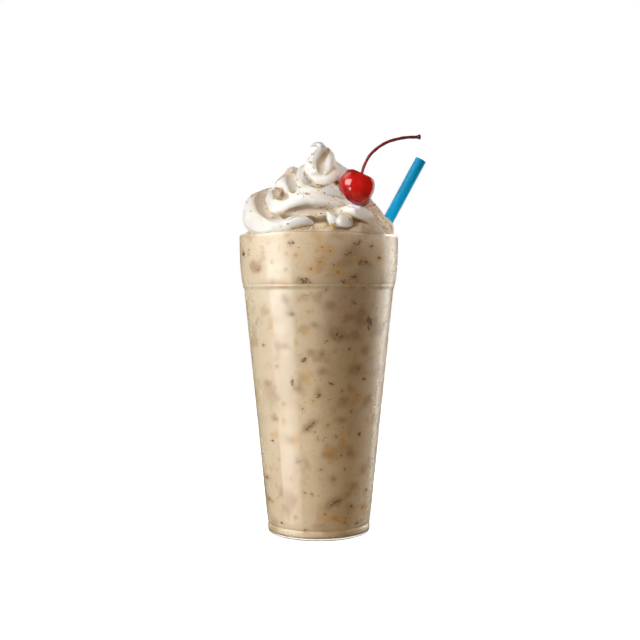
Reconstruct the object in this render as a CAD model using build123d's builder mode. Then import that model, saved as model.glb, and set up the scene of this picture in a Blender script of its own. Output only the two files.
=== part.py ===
from build123d import *
import math
import os

import numpy as np

# A milkshake in a tall clear plastic cup, with whipped cream, a cherry on its
# stem and a drinking straw.  Millimetres, +Z up, the front towards -Y.
# The origin is the centre of the ring foot on which the cup stands.

# ---------------------------------------------------------------- sizes, mm
RIM_D = 91.6            # outside, over the lip
CUP_H = 171.0
FOOT_D = 59.2           # outside, over the heel
FOOT_H = 5.4            # height of the waist above the heel
SHOULDER_Z = 141.0      # lower end of the wide band under the rim
SHOULDER_D = 86.0
BAND_D = 89.6           # just above the shoulder's curve
WALL = 0.65
FLOOR_Z = 2.1           # inside floor, lifted above the ring foot

MOUND_R = 36.0          # the drink stands above the rim in a low mound
MOUND_Z = 175.2
MOUND_TOP = 178.5

STRAW_D = 6.6
STRAW_WALL = 0.30
STRAW_LOW = (-28.2, 6.0, 53.5)     # centre of the lower end, inside the drink
STRAW_HIGH = (60.3, 13.0, 216.6)   # centre of the upper end

CHERRY_C = (21.0, -16.5, 197.4)
CHERRY_AXIS = (0.42, -0.12, 0.90)  # from the centre towards the dimple
CHERRY_R = 10.0
STEM_R = 0.85
STEM_END_R = 1.45

CREAM_AZ = 104          # steps round the cream
CREAM_EL = 27           # steps from the cup up to the tip
CREAM_LOW = 169.3       # the cream's underside before it is fitted to the drink

os.makedirs("parts", exist_ok=True)


# ---------------------------------------------------------------- cup
def cup_side(inset):
    """Side of the cup from the ring foot to the rim, moved inwards by inset."""
    r_foot, r_sh, r_band, r_rim = FOOT_D / 2, SHOULDER_D / 2, BAND_D / 2, RIM_D / 2
    return [
        (r_foot - 1.35 - 0.4 * inset, 0.0 + 1.1 * inset),
        (r_foot - 0.45 - 0.8 * inset, 0.35 + 1.0 * inset),
        (r_foot - 0.05 - inset, 1.3 + 0.8 * inset),
        (r_foot + 0.05 - inset, FOOT_H - 0.9),
        (r_foot - 0.25 - inset, FOOT_H),
        (r_foot + 0.20 - inset, FOOT_H + 1.0),
        (r_sh - inset, SHOULDER_Z - 1.2),
        (r_sh + 0.45 - inset, SHOULDER_Z + 0.7),
        (r_sh + 1.25 - inset, SHOULDER_Z + 3.2),
        (r_band - inset, SHOULDER_Z + 6.6),
        (r_band + 0.55 - inset, SHOULDER_Z + 12.0),
        (r_rim - 0.15 - inset, SHOULDER_Z + 19.5),
        (r_rim - inset, CUP_H - 0.55),
    ]


outside = cup_side(0.0)
inside = cup_side(WALL)
underside = [(0.0, FLOOR_Z - 0.7), (FOOT_D / 2 - 4.4, FLOOR_Z - 0.7), (FOOT_D / 2 - 3.3, 0.0)]
floor_in = [(0.0, FLOOR_Z), (FOOT_D / 2 - 4.1, FLOOR_Z), (FOOT_D / 2 - 3.0, 1.1 * WALL)]
lip_mid = (RIM_D / 2 - WALL / 2, CUP_H)

with BuildPart() as cup:
    with BuildSketch(Plane.XZ):
        with BuildLine():
            Polyline(*underside, *outside)
            ThreePointArc(outside[-1], lip_mid, inside[-1])
            Polyline(inside[-1], *reversed(inside[:-1]), *reversed(floor_in))
            Line(floor_in[0], underside[0])
        make_face()
    revolve(axis=Axis.Z)
cup.part.label = "cup"

# ---------------------------------------------------------------- straw
straw_low, straw_high = Vector(*STRAW_LOW), Vector(*STRAW_HIGH)
straw_dir = (straw_high - straw_low).normalized()
STRAW_L = (straw_high - straw_low).length
straw_plane = Plane(origin=straw_low, x_dir=straw_dir.cross(Vector(0, 1, 0)), z_dir=straw_dir)

with BuildPart() as straw:
    with BuildSketch(straw_plane):
        Circle(STRAW_D / 2)
        Circle(STRAW_D / 2 - STRAW_WALL, mode=Mode.SUBTRACT)
    extrude(amount=STRAW_L)
straw.part.label = "straw"

with BuildPart() as straw_room:     # the straw with its bore, as cut from the cream
    with BuildSketch(straw_plane):
        Circle(STRAW_D / 2)
    extrude(amount=STRAW_L)

# ---------------------------------------------------------------- drink
with BuildPart() as milkshake:
    with BuildSketch(Plane.XZ):
        with BuildLine():
            Polyline(*floor_in, *inside)
            Polyline(inside[-1], (MOUND_R, MOUND_Z), (MOUND_R / 2, (MOUND_Z + MOUND_TOP * 2) / 3), (0, MOUND_TOP))
            Line((0, MOUND_TOP), floor_in[0])
        make_face()
    revolve(axis=Axis.Z)
    add(straw.part, mode=Mode.SUBTRACT)
milkshake.part.label = "milkshake"

# ---------------------------------------------------------------- cherry
cherry_up = Vector(*CHERRY_AXIS).normalized()
cherry_plane = Plane(origin=Vector(*CHERRY_C), x_dir=Vector(0, 1, 0).cross(cherry_up), z_dir=cherry_up)
k = CHERRY_R / 10.0
cherry_side = [(0, -9.7), (5.9, -8.2), (9.3, -3.6), (10.0, 1.0), (8.6, 6.1), (5.0, 8.6), (2.1, 7.9), (0, 6.4)]
dimple = Vector(*CHERRY_C) + cherry_up * (6.4 * k)

# The stem lies in one upright plane: a short straight run, then three tangent
# arcs that lay it over towards the straw.
stem_plane = Plane(origin=Vector(0, dimple.Y, 0), x_dir=(1, 0, 0), z_dir=(0, -1, 0))
s0 = (dimple.X - 0.55, dimple.Z - 1.4)
s1 = (25.6, 209.6)
s2 = (33.4, 219.6)
s3 = (44.6, 224.4)
s4 = (54.2, 225.3)
s5 = (57.6, 225.45)


def arc_on(start, end, heading):
    """Middle and end heading (degrees) of the arc from start to end that sets off along heading."""
    chord = math.hypot(end[0] - start[0], end[1] - start[1])
    lie = math.degrees(math.atan2(end[1] - start[1], end[0] - start[0]))
    turn = math.radians(lie - heading)              # half of the whole turn
    rise = 0.5 * chord * math.tan(turn / 2)         # height of the arc over its chord
    side = math.radians(lie - 90)
    middle = ((start[0] + end[0]) / 2 + rise * math.cos(side), (start[1] + end[1]) / 2 + rise * math.sin(side))
    return middle, 2 * lie - heading


h1 = math.degrees(math.atan2(s1[1] - s0[1], s1[0] - s0[0]))
m1, h2 = arc_on(s1, s2, h1)
m2, h3 = arc_on(s2, s3, h2)
m3, h4 = arc_on(s3, s4, h3)

with BuildPart() as cherry_stem:
    with BuildLine(stem_plane) as stem_path:
        l1 = Line(s0, s1)
        ThreePointArc(s1, m1, s2)
        ThreePointArc(s2, m2, s3)
        a3 = ThreePointArc(s3, m3, s4)
    with BuildSketch(Plane(origin=l1 @ 0, z_dir=l1 % 0)):
        Circle(STEM_R)
    sweep(path=stem_path.line)
    # flared, rounded end where the stem was picked
    end_plane = Plane(origin=a3 @ 1, x_dir=(0, 1, 0), z_dir=a3 % 1)
    with BuildSketch(end_plane):
        Circle(STEM_R)
    with BuildSketch(end_plane.offset(3.0)):
        Circle(STEM_END_R)
    loft()
    with BuildSketch(end_plane.offset(3.0)):
        Circle(STEM_END_R)
    with BuildSketch(end_plane.offset(3.45)):
        Circle(STEM_END_R - 0.5)
    loft()
cherry_stem.part.label = "cherry_stem"

with BuildPart() as cherry_whole:
    with BuildSketch(Plane.XZ):
        with BuildLine():
            Spline(*[(x * k, z * k) for x, z in cherry_side], tangents=((1, 0), (-1, -0.75)))
            Line((0, 6.4 * k), (0, -9.7 * k))
        make_face()
    revolve(axis=Axis.Z)
cherry_body = cherry_plane.location * cherry_whole.part

with BuildPart() as cherry:
    add(cherry_body)
    add(cherry_stem.part, mode=Mode.SUBTRACT)
cherry.part.label = "cherry"

# ---------------------------------------------------------------- whipped cream
# The cream is a heap of soft folds laid in a coil.  Each fold is a rope that
# runs through a few stations (x, y, z, radius); the folds melt together, and
# furrows, given the same way, are pressed between them.
FOLDS = {
    "heap": [(0, 4, 176, 31), (0.1, 4, 176, 31)],
    "core": [(2, 0, 176, 29), (2, 0, 188, 21), (2, 0, 198, 13)],
    "coil_0_back": [(-30, 12, 186, 7.5), (-30.5, 19.5, 182, 8.8), (-21, 29.5, 178.5, 9), (-6, 35.8, 177.2, 9), (9, 35.3, 176.8, 9),
                    (22.5, 28.6, 176.6, 9), (31.5, 18.5, 176, 8.7), (36, 7, 175, 8)],
    "coil_1_back": [(-22, 8, 191, 6.5), (-19, 18.5, 190.5, 7.2), (-6, 24.5, 190, 7.8), (9, 24.5, 189, 8), (20, 18.5, 188, 8),
                    (26, 8, 185, 8)],
    "coil_2_back": [(-12, 8, 197, 6.5), (-8, 15, 197, 6.8), (3, 16.5, 197, 7), (13, 12.5, 196.5, 7), (19, 6, 192.5, 7.5)],
    "coil_3_back": [(-4, 7, 203, 5.5), (2.5, 9, 203.5, 5.6), (7.5, 6.5, 203, 5.4)],
    "A": [(-28, 18, 194.2, 6.5), (-32.3, 10, 191.7, 6.6), (-35.4, 2, 188.7, 6.9), (-35.2, -6, 184.8, 7.8),
          (-34.4, -14, 180.5, 8.6), (-31.7, -22, 177.7, 8.2), (-27.5, -29, 175.5, 7.2), (-22.9, -33, 174.1, 5.6),
          (-19.5, -35.5, 173.3, 4)],
    "A2": [(-20.6, -35, 172.9, 3.8), (-16.7, -37.5, 174.8, 3.6), (-12.4, -38.5, 176.3, 3.5), (-8, -38.3, 176.6, 3),
           (-4.5, -37, 176.1, 1.7)],
    "B2": [(-20.3, 4, 194.1, 5.5), (-24, -6, 194, 4.6), (-25.9, -14, 191.8, 3.8), (-26.2, -20, 189, 3.5),
           (-25.4, -25, 185.8, 3.6), (-22.8, -28.5, 183.5, 3.8), (-19.1, -31, 184.2, 3.8), (-15.2, -33, 186.2, 3.8),
           (-10.8, -34.5, 188.2, 3.8), (-5.9, -35, 189.3, 3.8), (-0.4, -35, 188.5, 3.8), (5, -34, 187.7, 3.6),
           (10.5, -32, 186.8, 3), (15.6, -29, 185.7, 2.4)],
    "B1": [(-23.5, -25, 185.2, 4), (-18.1, -29, 188.5, 4.6), (-12.5, -31, 191, 4.6), (-7, -31.5, 192.6, 4.6),
           (-1, -31, 193.2, 4.4), (4.5, -29.5, 193.1, 4), (9, -27.5, 192.2, 3.4), (12.4, -24, 190.3, 2.6)],
    "CD_fill": [(-15, 2, 206.7, 4.6), (-15.4, -5, 203, 5), (-15.2, -11.5, 199.4, 4.8), (-14.8, -17, 196, 4.4),
                (-14.4, -22, 192.7, 4)],
    "C": [(-10.4, 6, 204.3, 5.2), (-15.6, 0, 202.4, 5.2), (-18.8, -7, 200.5, 5), (-20.6, -12, 198.8, 4.3)],
    "C_edge": [(-18.9, -5, 204.7, 1.9), (-19.1, -12, 201.1, 1.8), (-18.5, -17, 198, 1.9), (-16.7, -21.5, 195.3, 1.9),
               (-14.9, -25, 193, 1.6)],
    "D": [(-8, -4, 207.7, 4), (-9, -11, 204.1, 3.6), (-9.5, -18, 199.9, 3.4), (-8.8, -23, 196, 3.4),
          (-5.4, -27, 193.4, 3.6)],
    "T": [(-5.6, -9.5, 204.8, 4.2), (-3.6, -13, 202.6, 4.1), (0.4, -16, 201.3, 3.9), (4.3, -16.5, 201.6, 3.8),
          (8, -14.5, 203.7, 3.6), (9.8, -10, 207.1, 3.1)],
    "T_up": [(-3.9, -9, 207.7, 5), (-1, -11.5, 206, 5), (3, -12, 206.2, 5), (6.4, -10.5, 208.1, 4.4)],
    "P0": [(-0.5, -6, 202.9, 9), (0.7, -6.5, 208, 6.6), (1.6, -5.5, 212.7, 4.4), (2.1, -4.5, 216.9, 3),
           (1.6, -4.2, 220.4, 2)],
    "P1": [(-3.6, -9.5, 207.1, 5.4), (-3.3, -9.5, 210.5, 4.4), (-2.2, -9.5, 213.9, 3.4), (0.4, -8.6, 217.5, 2.9),
           (1.8, -7, 220.3, 2.4), (1, -5.8, 222.4, 1.8), (-1.3, -5.2, 223.1, 1.3), (-3.3, -5.2, 222.7, 0.8),
           (-4.8, -5.4, 221.9, 0.4)],
    "P2": [(5, -5, 220, 1.3), (6.4, -7.5, 217.1, 2), (6.6, -10.5, 213.8, 2.8), (6.2, -12.8, 210.9, 3.3),
           (5.5, -13.8, 208.3, 2.9), (4.4, -14.5, 206.2, 2.4)],
    "P3": [(3, -2, 221, 1.8), (4.2, -1, 217.7, 2.4), (5.6, 0, 214, 3.4), (7.7, 1, 210.1, 4.8), (11.2, 3, 205.7, 6.5)],
    "W": [(13.2, -34, 181.8, 2.8), (16.4, -36, 182, 3.5), (20.2, -37, 181.5, 3.9), (24.1, -36, 180.2, 3.7),
          (27.5, -33.5, 178.2, 3), (29.2, -31, 176.5, 2.4)],
    "W_fill": [(14.4, -32, 178.6, 3.4), (18.7, -32.5, 178, 3.8), (23.7, -32, 177.5, 3.8)],
    "S": [(18, -37, 172.5, 3.2), (22.9, -37.5, 173.8, 3.8), (27.9, -36, 174.2, 3.9), (32.4, -33, 172.8, 3.4),
          (34.8, -30, 171, 2.6)],
    "dab_round": [(12, -40, 176.8, 2.9), (14.4, -41.5, 176.4, 4.1)],
    "dab_point": [(4.7, -40, 181.4, 0.6), (6, -40.5, 179.3, 1.8), (7.7, -40.5, 176.9, 2.8), (9.8, -40, 176.1, 2.8)],
    "right": [(12.9, 3, 203.3, 7.5), (18.1, 0, 194.9, 7.5), (23.7, -4, 187.6, 7.5), (28.2, -8, 182.1, 7.5),
              (31.9, -12, 176.1, 7.5), (34.7, -14, 172.6, 6)],
    "right_front": [(14.1, -22, 182.1, 5.6), (20.2, -23, 180.4, 6.2), (25.8, -22, 178.2, 6.5), (30.4, -20, 175.6, 6),
                    (33.7, -20, 172.8, 5)],
    "mid_left": [(-26.1, -22, 182.1, 4.6), (-19.3, -26.5, 182.3, 5), (-12.6, -29, 183, 5.2), (-5.4, -30, 183.4, 5.4),
                 (1.8, -29.5, 183.7, 5.4), (7.8, -29, 183.5, 5.6), (13.9, -27, 181.7, 5.6)],
    "base_front": [(9.5, -30, 174.1, 5), (14.9, -31, 173.7, 5.6), (20.5, -30, 173.2, 6)],
}
FURROWS = {
    "valley_A_B": [(-32.6, 3.7, 196.4, 2.2), (-33.2, -10.6, 191.6, 2.8), (-32, -22.6, 186.5, 2.9), (-29.6, -31, 182.5, 2.6),
                   (-26, -36.9, 179.1, 1.9), (-22.1, -38.5, 177.6, 1.4)],
    "under_B": [(-25.5, -35.6, 178.3, 1.2), (-19.5, -35.5, 179.8, 2.2), (-14.1, -35.4, 182, 2.9), (-8.6, -35.6, 183.2, 3.2),
                (-2.6, -35.9, 183, 3.2), (2.8, -36.4, 182.2, 2.9), (7.7, -36.5, 181.5, 2.2)],
    "dark_under": [(-26.6, -36.2, 178, 0.8), (-21, -39.5, 177, 0.9), (-16.1, -40.3, 178, 0.9), (-11.3, -39, 179.4, 0.8),
                   (-5.9, -35.2, 179.6, 0.8), (-1.5, -30, 178.2, 0.8)],
    "C_hollow": [(-23.9, -14.3, 194.9, 2.2), (-22.6, -22.1, 191.9, 2.6), (-20.3, -28.6, 190.4, 2.5), (-17.9, -35.7, 191.1, 1.9)],
    "C_D": [(-15.8, -11.4, 205.7, 2.2), (-15.4, -15.8, 201.8, 2.7), (-14.6, -24.7, 197.5, 2.6), (-13.8, -34.3, 194, 1.8)],
    "under_T": [(-8.2, -23.9, 200.9, 0.8), (-6.2, -30.5, 197.4, 0.9), (-2.6, -33.9, 195.8, 0.9), (1.8, -32.8, 195.8, 0.9),
                (6.8, -24.8, 197.5, 0.9), (10.9, -12.2, 200.8, 0.8)],
    "G1": [(5.8, -8.6, 218.6, 0.9), (3.5, -10.3, 215.5, 1.6), (1.6, -12.7, 212.4, 2.1), (1, -15.3, 209.2, 2),
           (1.2, -18.3, 206, 1.5)],
    "G2": [(8.9, -15.2, 208.4, 0.6), (6.9, -17.4, 206.1, 0.7), (4.3, -19, 204.5, 0.7)],
    "band_line": [(-3.7, -38.6, 189.9, 0.5), (0.7, -38.6, 189.4, 0.6), (5.5, -37.5, 188.6, 0.6), (9.9, -35.6, 187.8, 0.6),
                  (13.8, -33.3, 186.9, 0.5)],
    "A_A2": [(-20.7, -39.5, 175.3, 0.6), (-19.7, -40.1, 172.9, 0.6), (-19.1, -39.3, 171.3, 0.6)],
    "W_over": [(14.9, -33, 185.5, 0.6), (18, -37.8, 185.2, 0.7), (21.7, -40.5, 183.6, 0.7), (25.6, -39.3, 181, 0.7)],
}
MELT = 0.9              # how softly two folds run together
EDGE = 0.5              # how soft a furrow's edge is
CELL = 1.0              # spacing of the field in which the cream is worked out
FIELD_LOW, FIELD_HIGH = (-49.0, -49.0, 164.0), (49.0, 49.0, 230.0)


def rope(stations, step=1.5):
    """A smooth run of (x, y, z, r) through the stations (Catmull-Rom)."""
    p = np.array(stations, float)
    if len(p) == 2:
        return p
    q = np.vstack([2 * p[0] - p[1], p, 2 * p[-1] - p[-2]])
    out = []
    for i in range(1, len(q) - 2):
        n = max(2, int(np.ceil(np.linalg.norm(q[i + 1, :3] - q[i, :3]) / step)))
        t = (np.arange(n) / n)[:, None]
        a, b, c, d = q[i - 1], q[i], q[i + 1], q[i + 2]
        out.append(0.5 * (2 * b + (c - a) * t + (2 * a - 5 * b + 4 * c - d) * t ** 2 + (3 * b - a - 3 * c + d) * t ** 3))
    return np.vstack(out + [p[-1:]])


axes3 = [np.arange(FIELD_LOW[i], FIELD_HIGH[i] + CELL / 2, CELL) for i in range(3)]


def window(lines, low, high):
    return tuple(slice(max(0, int(np.searchsorted(lines[i], low[i]))), int(np.searchsorted(lines[i], high[i])) + 1) for i in range(3))


def rope_distance(stations, margin=5.0):
    """Signed distance to one rope, in the part of the field round it."""
    s = rope(stations)
    box = window(axes3, (s[:, :3] - s[:, 3:]).min(0) - margin, (s[:, :3] + s[:, 3:]).max(0) + margin)
    lines = [axes3[i][box[i]] for i in range(3)]
    dist = np.full([len(v) for v in lines], 99.0)
    for a, b in zip(s[:-1], s[1:]):
        reach = max(a[3], b[3]) + margin
        w = window(lines, np.minimum(a[:3], b[:3]) - reach, np.maximum(a[:3], b[:3]) + reach)
        x, y, z = lines[0][w[0]][:, None, None], lines[1][w[1]][None, :, None], lines[2][w[2]][None, None, :]
        d = b - a
        t = ((x - a[0]) * d[0] + (y - a[1]) * d[1] + (z - a[2]) * d[2]) / max(1e-9, float(d[:3] @ d[:3]))
        t = np.clip(t, 0, 1)
        r = np.sqrt((x - a[0] - t * d[0]) ** 2 + (y - a[1] - t * d[1]) ** 2 + (z - a[2] - t * d[2]) ** 2)
        dist[w] = np.minimum(dist[w], r - (a[3] + t * d[3]))
    return box, dist


def soft_min(a, b, width):
    h = np.clip(0.5 + 0.5 * (b - a) / width, 0, 1)
    return b * (1 - h) + a * h - width * h * (1 - h)


field = np.full([len(v) for v in axes3], 12.0)
for stations in FOLDS.values():
    box, dist = rope_distance(stations)
    field[box] = soft_min(field[box], dist, MELT)
for stations in FURROWS.values():
    box, dist = rope_distance(stations)
    field[box] = -soft_min(-field[box], dist, EDGE)


def field_at(p):
    """Trilinear reading of the field at the points p (n, 3)."""
    size = np.array(field.shape)
    q = np.clip((p - np.array(FIELD_LOW)) / CELL, 0, size - 1.001)
    i = q.astype(int)
    f = q - i
    total = 0.0
    for dx in (0, 1):
        for dy in (0, 1):
            for dz in (0, 1):
                wgt = np.abs(1 - dx - f[:, 0]) * np.abs(1 - dy - f[:, 1]) * np.abs(1 - dz - f[:, 2])
                total = total + wgt * field[i[:, 0] + dx, i[:, 1] + dy, i[:, 2] + dz]
    return total


# Rays from a point inside the cream find its outermost surface: an even fan
# of azimuths and elevations, so neighbouring rays join up into triangles.
heart = np.array([1.0, -3.0, CREAM_LOW])
inner_top = RIM_D / 2 - WALL - 0.25

azimuth = 2 * math.pi * np.arange(CREAM_AZ) / CREAM_AZ
elevation = np.radians(90.0) * np.arange(CREAM_EL) / CREAM_EL
az, el = np.meshgrid(azimuth, elevation, indexing="ij")
aim = np.stack([np.cos(el) * np.cos(az), np.cos(el) * np.sin(az), np.sin(el)], -1).reshape(-1, 3)
reach = np.full(len(aim), 62.0)
live = np.ones(len(aim), bool)
for _ in range(260):
    val = field_at(heart + aim * reach[:, None])
    live &= (val > 0.02) & (reach > 5)
    if not live.any():
        break
    reach = np.where(live, reach - np.clip(val * 0.5, 0.1, 2.0), reach)
reach = reach.reshape(CREAM_AZ, CREAM_EL)
# single rays that slip past an overhang are brought into line with their neighbours
near = np.stack([np.roll(reach, k, axis=0) for k in (-1, 0, 1)])
reach = 0.5 * reach + 0.5 * np.median(near, axis=0)
reach = 0.5 * reach + 0.25 * (np.roll(reach, 1, axis=0) + np.roll(reach, -1, axis=0))
rings = heart + aim.reshape(CREAM_AZ, CREAM_EL, 3) * reach[:, :, None]
rho = np.hypot(rings[..., 0], rings[..., 1])
limit = np.where(rings[..., 2] < CUP_H + 1.2, inner_top, inner_top + 0.6)
shrink = np.minimum(1.0, limit / np.maximum(rho, 1e-6))
rings[..., 0] *= shrink
rings[..., 1] *= shrink
top = 62.0
while field_at(heart[None] + np.array([[0.0, 0.0, top]]))[0] > 0.02:
    top -= 0.1
tip = heart + np.array([0.0, 0.0, top])


def tri(a, b, c):
    return Face(Wire.make_polygon([Vector(*a), Vector(*b), Vector(*c)], close=True))


cream_faces = []
for i in range(CREAM_AZ):
    r0, r1 = rings[i], rings[(i + 1) % CREAM_AZ]
    for j in range(CREAM_EL - 1):
        cream_faces.append(tri(r0[j], r1[j], r1[j + 1]))
        cream_faces.append(tri(r0[j], r1[j + 1], r0[j + 1]))
    cream_faces.append(tri(r0[CREAM_EL - 1], r1[CREAM_EL - 1], tip))
cream_faces.append(Face(Wire.make_polygon([Vector(*r[0]) for r in rings], close=True)))
cream_solid = Solid(Shell(cream_faces))

with BuildPart() as cream_cut:
    add(cream_solid)
    add(milkshake.part, mode=Mode.SUBTRACT)
    add(straw_room.part, mode=Mode.SUBTRACT)
    add(cherry_body, mode=Mode.SUBTRACT)
# a sliver that the drink, the straw or the cherry cuts off is left out
cream_pieces = sorted(cream_cut.part.solids(), key=lambda s: s.volume)
print("cream cut into", [round(s.volume, 2) for s in cream_pieces])
with BuildPart() as whipped_cream:
    add(cream_pieces[-1])
whipped_cream.part.label = "whipped_cream"

# ---------------------------------------------------------------- write
for piece in (cup, milkshake, whipped_cream, cherry, cherry_stem, straw):
    export_step(piece.part, "parts/" + piece.part.label + ".step")
    print(piece.part.label, len(piece.part.solids()), "solid(s)", round(piece.part.volume, 1), "mm3", piece.part.is_valid)
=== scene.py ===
import bpy
import math
import random
import numpy as np
from mathutils import Vector, Matrix


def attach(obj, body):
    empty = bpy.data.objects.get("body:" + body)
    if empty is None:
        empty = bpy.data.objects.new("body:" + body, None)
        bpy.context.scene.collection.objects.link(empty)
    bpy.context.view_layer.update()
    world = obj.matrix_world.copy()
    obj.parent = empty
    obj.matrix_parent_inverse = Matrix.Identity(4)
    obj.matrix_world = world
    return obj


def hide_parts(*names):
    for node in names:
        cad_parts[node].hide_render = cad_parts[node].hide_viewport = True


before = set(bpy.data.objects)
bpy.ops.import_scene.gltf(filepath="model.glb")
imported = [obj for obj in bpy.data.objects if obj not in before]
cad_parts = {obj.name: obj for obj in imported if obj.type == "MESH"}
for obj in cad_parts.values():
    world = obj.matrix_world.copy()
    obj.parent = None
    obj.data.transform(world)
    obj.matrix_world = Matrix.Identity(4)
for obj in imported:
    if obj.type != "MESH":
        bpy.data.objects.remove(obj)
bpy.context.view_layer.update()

MM = 0.001
RNG = np.random.default_rng(41)

# ------------------------------------------------------------------ sizes, mm
RIM_D, CUP_H = 91.6, 171.0
FOOT_D, FOOT_H = 59.2, 5.4
SHOULDER_Z, SHOULDER_D, BAND_D = 141.0, 86.0, 89.6
WALL, FLOOR_Z = 0.65, 2.1
MOUND_R, MOUND_Z, MOUND_TOP = 36.0, 175.2, 178.5
STRAW_D, STRAW_WALL = 6.6, 0.30
STRAW_LOW, STRAW_HIGH = np.array([-28.2, 6.0, 53.5]), np.array([60.3, 13.0, 216.6])
CHERRY_C = np.array([21.0, -16.5, 197.4])
CHERRY_AXIS = np.array([0.42, -0.12, 0.90])
CHERRY_R = 10.0
STEM_R, STEM_END_R = 0.85, 1.5


# ------------------------------------------------------------------ helpers
def smooth(t):
    t = np.clip(t, 0.0, 1.0)
    return t * t * (3 - 2 * t)


def lattice(i, j, k, seed):
    """A steady pseudo-random number in 0..1 for each lattice point."""
    h = (i.astype(np.int64) * 374761393 + j.astype(np.int64) * 668265263 + k.astype(np.int64) * 2147483647 + seed * 974711) & 0xFFFFFFFF
    h = ((h ^ (h >> 13)) * 1274126177) & 0xFFFFFFFF
    h = (h ^ (h >> 16)) & 0xFFFFFFFF
    return h / 4294967295.0


def noise3(p, size, seed=0):
    """Value noise of the points p (n, 3) with features of about `size`, -1..1."""
    q = np.asarray(p, float) / size
    b = np.floor(q)
    f = smooth(q - b)
    b = b.astype(np.int64)
    out = 0.0
    for dx in (0, 1):
        wx = f[:, 0] if dx else 1 - f[:, 0]
        for dy in (0, 1):
            wy = f[:, 1] if dy else 1 - f[:, 1]
            for dz in (0, 1):
                wz = f[:, 2] if dz else 1 - f[:, 2]
                out = out + wx * wy * wz * lattice(b[:, 0] + dx, b[:, 1] + dy, b[:, 2] + dz, seed)
    return out * 2 - 1


def fbm(p, size, seed=0, octaves=3):
    out, amp, tot = 0.0, 1.0, 0.0
    for o in range(octaves):
        out = out + amp * noise3(p, size / 2 ** o, seed + 17 * o)
        tot += amp
        amp *= 0.5
    return out / tot


def outward(v, faces):
    """The faces turned over if the closed shape they bound is inside out."""
    tri = np.array([(q[0], q[i], q[i + 1]) for q in faces for i in range(1, len(q) - 1)])
    a, b, c = v[tri[:, 0]], v[tri[:, 1]], v[tri[:, 2]]
    if (a * np.cross(b, c)).sum() < 0:
        return [q[::-1] for q in faces]
    return faces


def mesh_object(name, verts, faces, replaces=(), smooth_shade=True, attrs=None, body="root"):
    """A piece from points in millimetres."""
    faces = [list(map(int, q)) for q in faces]
    faces = outward(np.asarray(verts, float), faces)
    me = bpy.data.meshes.new(name)
    me.from_pydata((np.asarray(verts) * MM).tolist(), [], faces)
    me.validate()
    me.update()
    me.shade_smooth() if smooth_shade else me.shade_flat()
    for key, values in (attrs or {}).items():
        values = np.asarray(values, float)
        if values.ndim == 1:
            a = me.attributes.new(key, "FLOAT", "POINT")
            a.data.foreach_set("value", values)
        else:
            a = me.attributes.new(key, "FLOAT_COLOR", "POINT")
            a.data.foreach_set("color", values.ravel())
    ob = bpy.data.objects.new(name, me)
    bpy.context.scene.collection.objects.link(ob)
    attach(ob, body)
    for n in replaces:
        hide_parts(n)
    return ob


def grid_faces(nu, nv, close_u=False, close_v=False, base=0):
    """Quads of an nu x nv grid of points, index u * nv + v."""
    out = []
    for u in range(nu if close_u else nu - 1):
        for v in range(nv if close_v else nv - 1):
            a, b = u, (u + 1) % nu
            c, d = v, (v + 1) % nv
            out.append((base + a * nv + c, base + b * nv + c, base + b * nv + d, base + a * nv + d))
    return out


def lathe(profile, steps):
    """Points and faces of a closed shape turned about Z from a profile that starts and ends on the axis."""
    prof = np.asarray(profile, float)
    mid = prof[1:-1]
    ang = 2 * np.pi * np.arange(steps) / steps
    v = np.stack([mid[None, :, 0] * np.cos(ang)[:, None], mid[None, :, 0] * np.sin(ang)[:, None],
                  np.broadcast_to(mid[None, :, 1], (steps, len(mid)))], -1).reshape(-1, 3)
    n = len(mid)
    f = grid_faces(steps, n, close_u=True)
    v = np.vstack([v, [[0, 0, prof[0, 1]], [0, 0, prof[-1, 1]]]])
    a, b = len(v) - 2, len(v) - 1
    for u in range(steps):
        w = (u + 1) % steps
        f.append((a, w * n, u * n))
        f.append((b, u * n + n - 1, w * n + n - 1))
    return v, f


def rounded(points, step=0.6, soft=1):
    """Chaikin corner cutting of an open profile, with its ends kept, then cut to even steps."""
    p = np.asarray(points, float)
    for _ in range(soft):
        q = [p[0]]
        for a, b in zip(p[:-1], p[1:]):
            q += [a * 0.75 + b * 0.25, a * 0.25 + b * 0.75]
        q.append(p[-1])
        p = np.array(q)
    run = np.concatenate([[0], np.cumsum(np.linalg.norm(np.diff(p, axis=0), axis=1))])
    n = max(2, int(run[-1] / step))
    want = np.linspace(0, run[-1], n + 1)
    return np.stack([np.interp(want, run, p[:, 0]), np.interp(want, run, p[:, 1])], -1)


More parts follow.
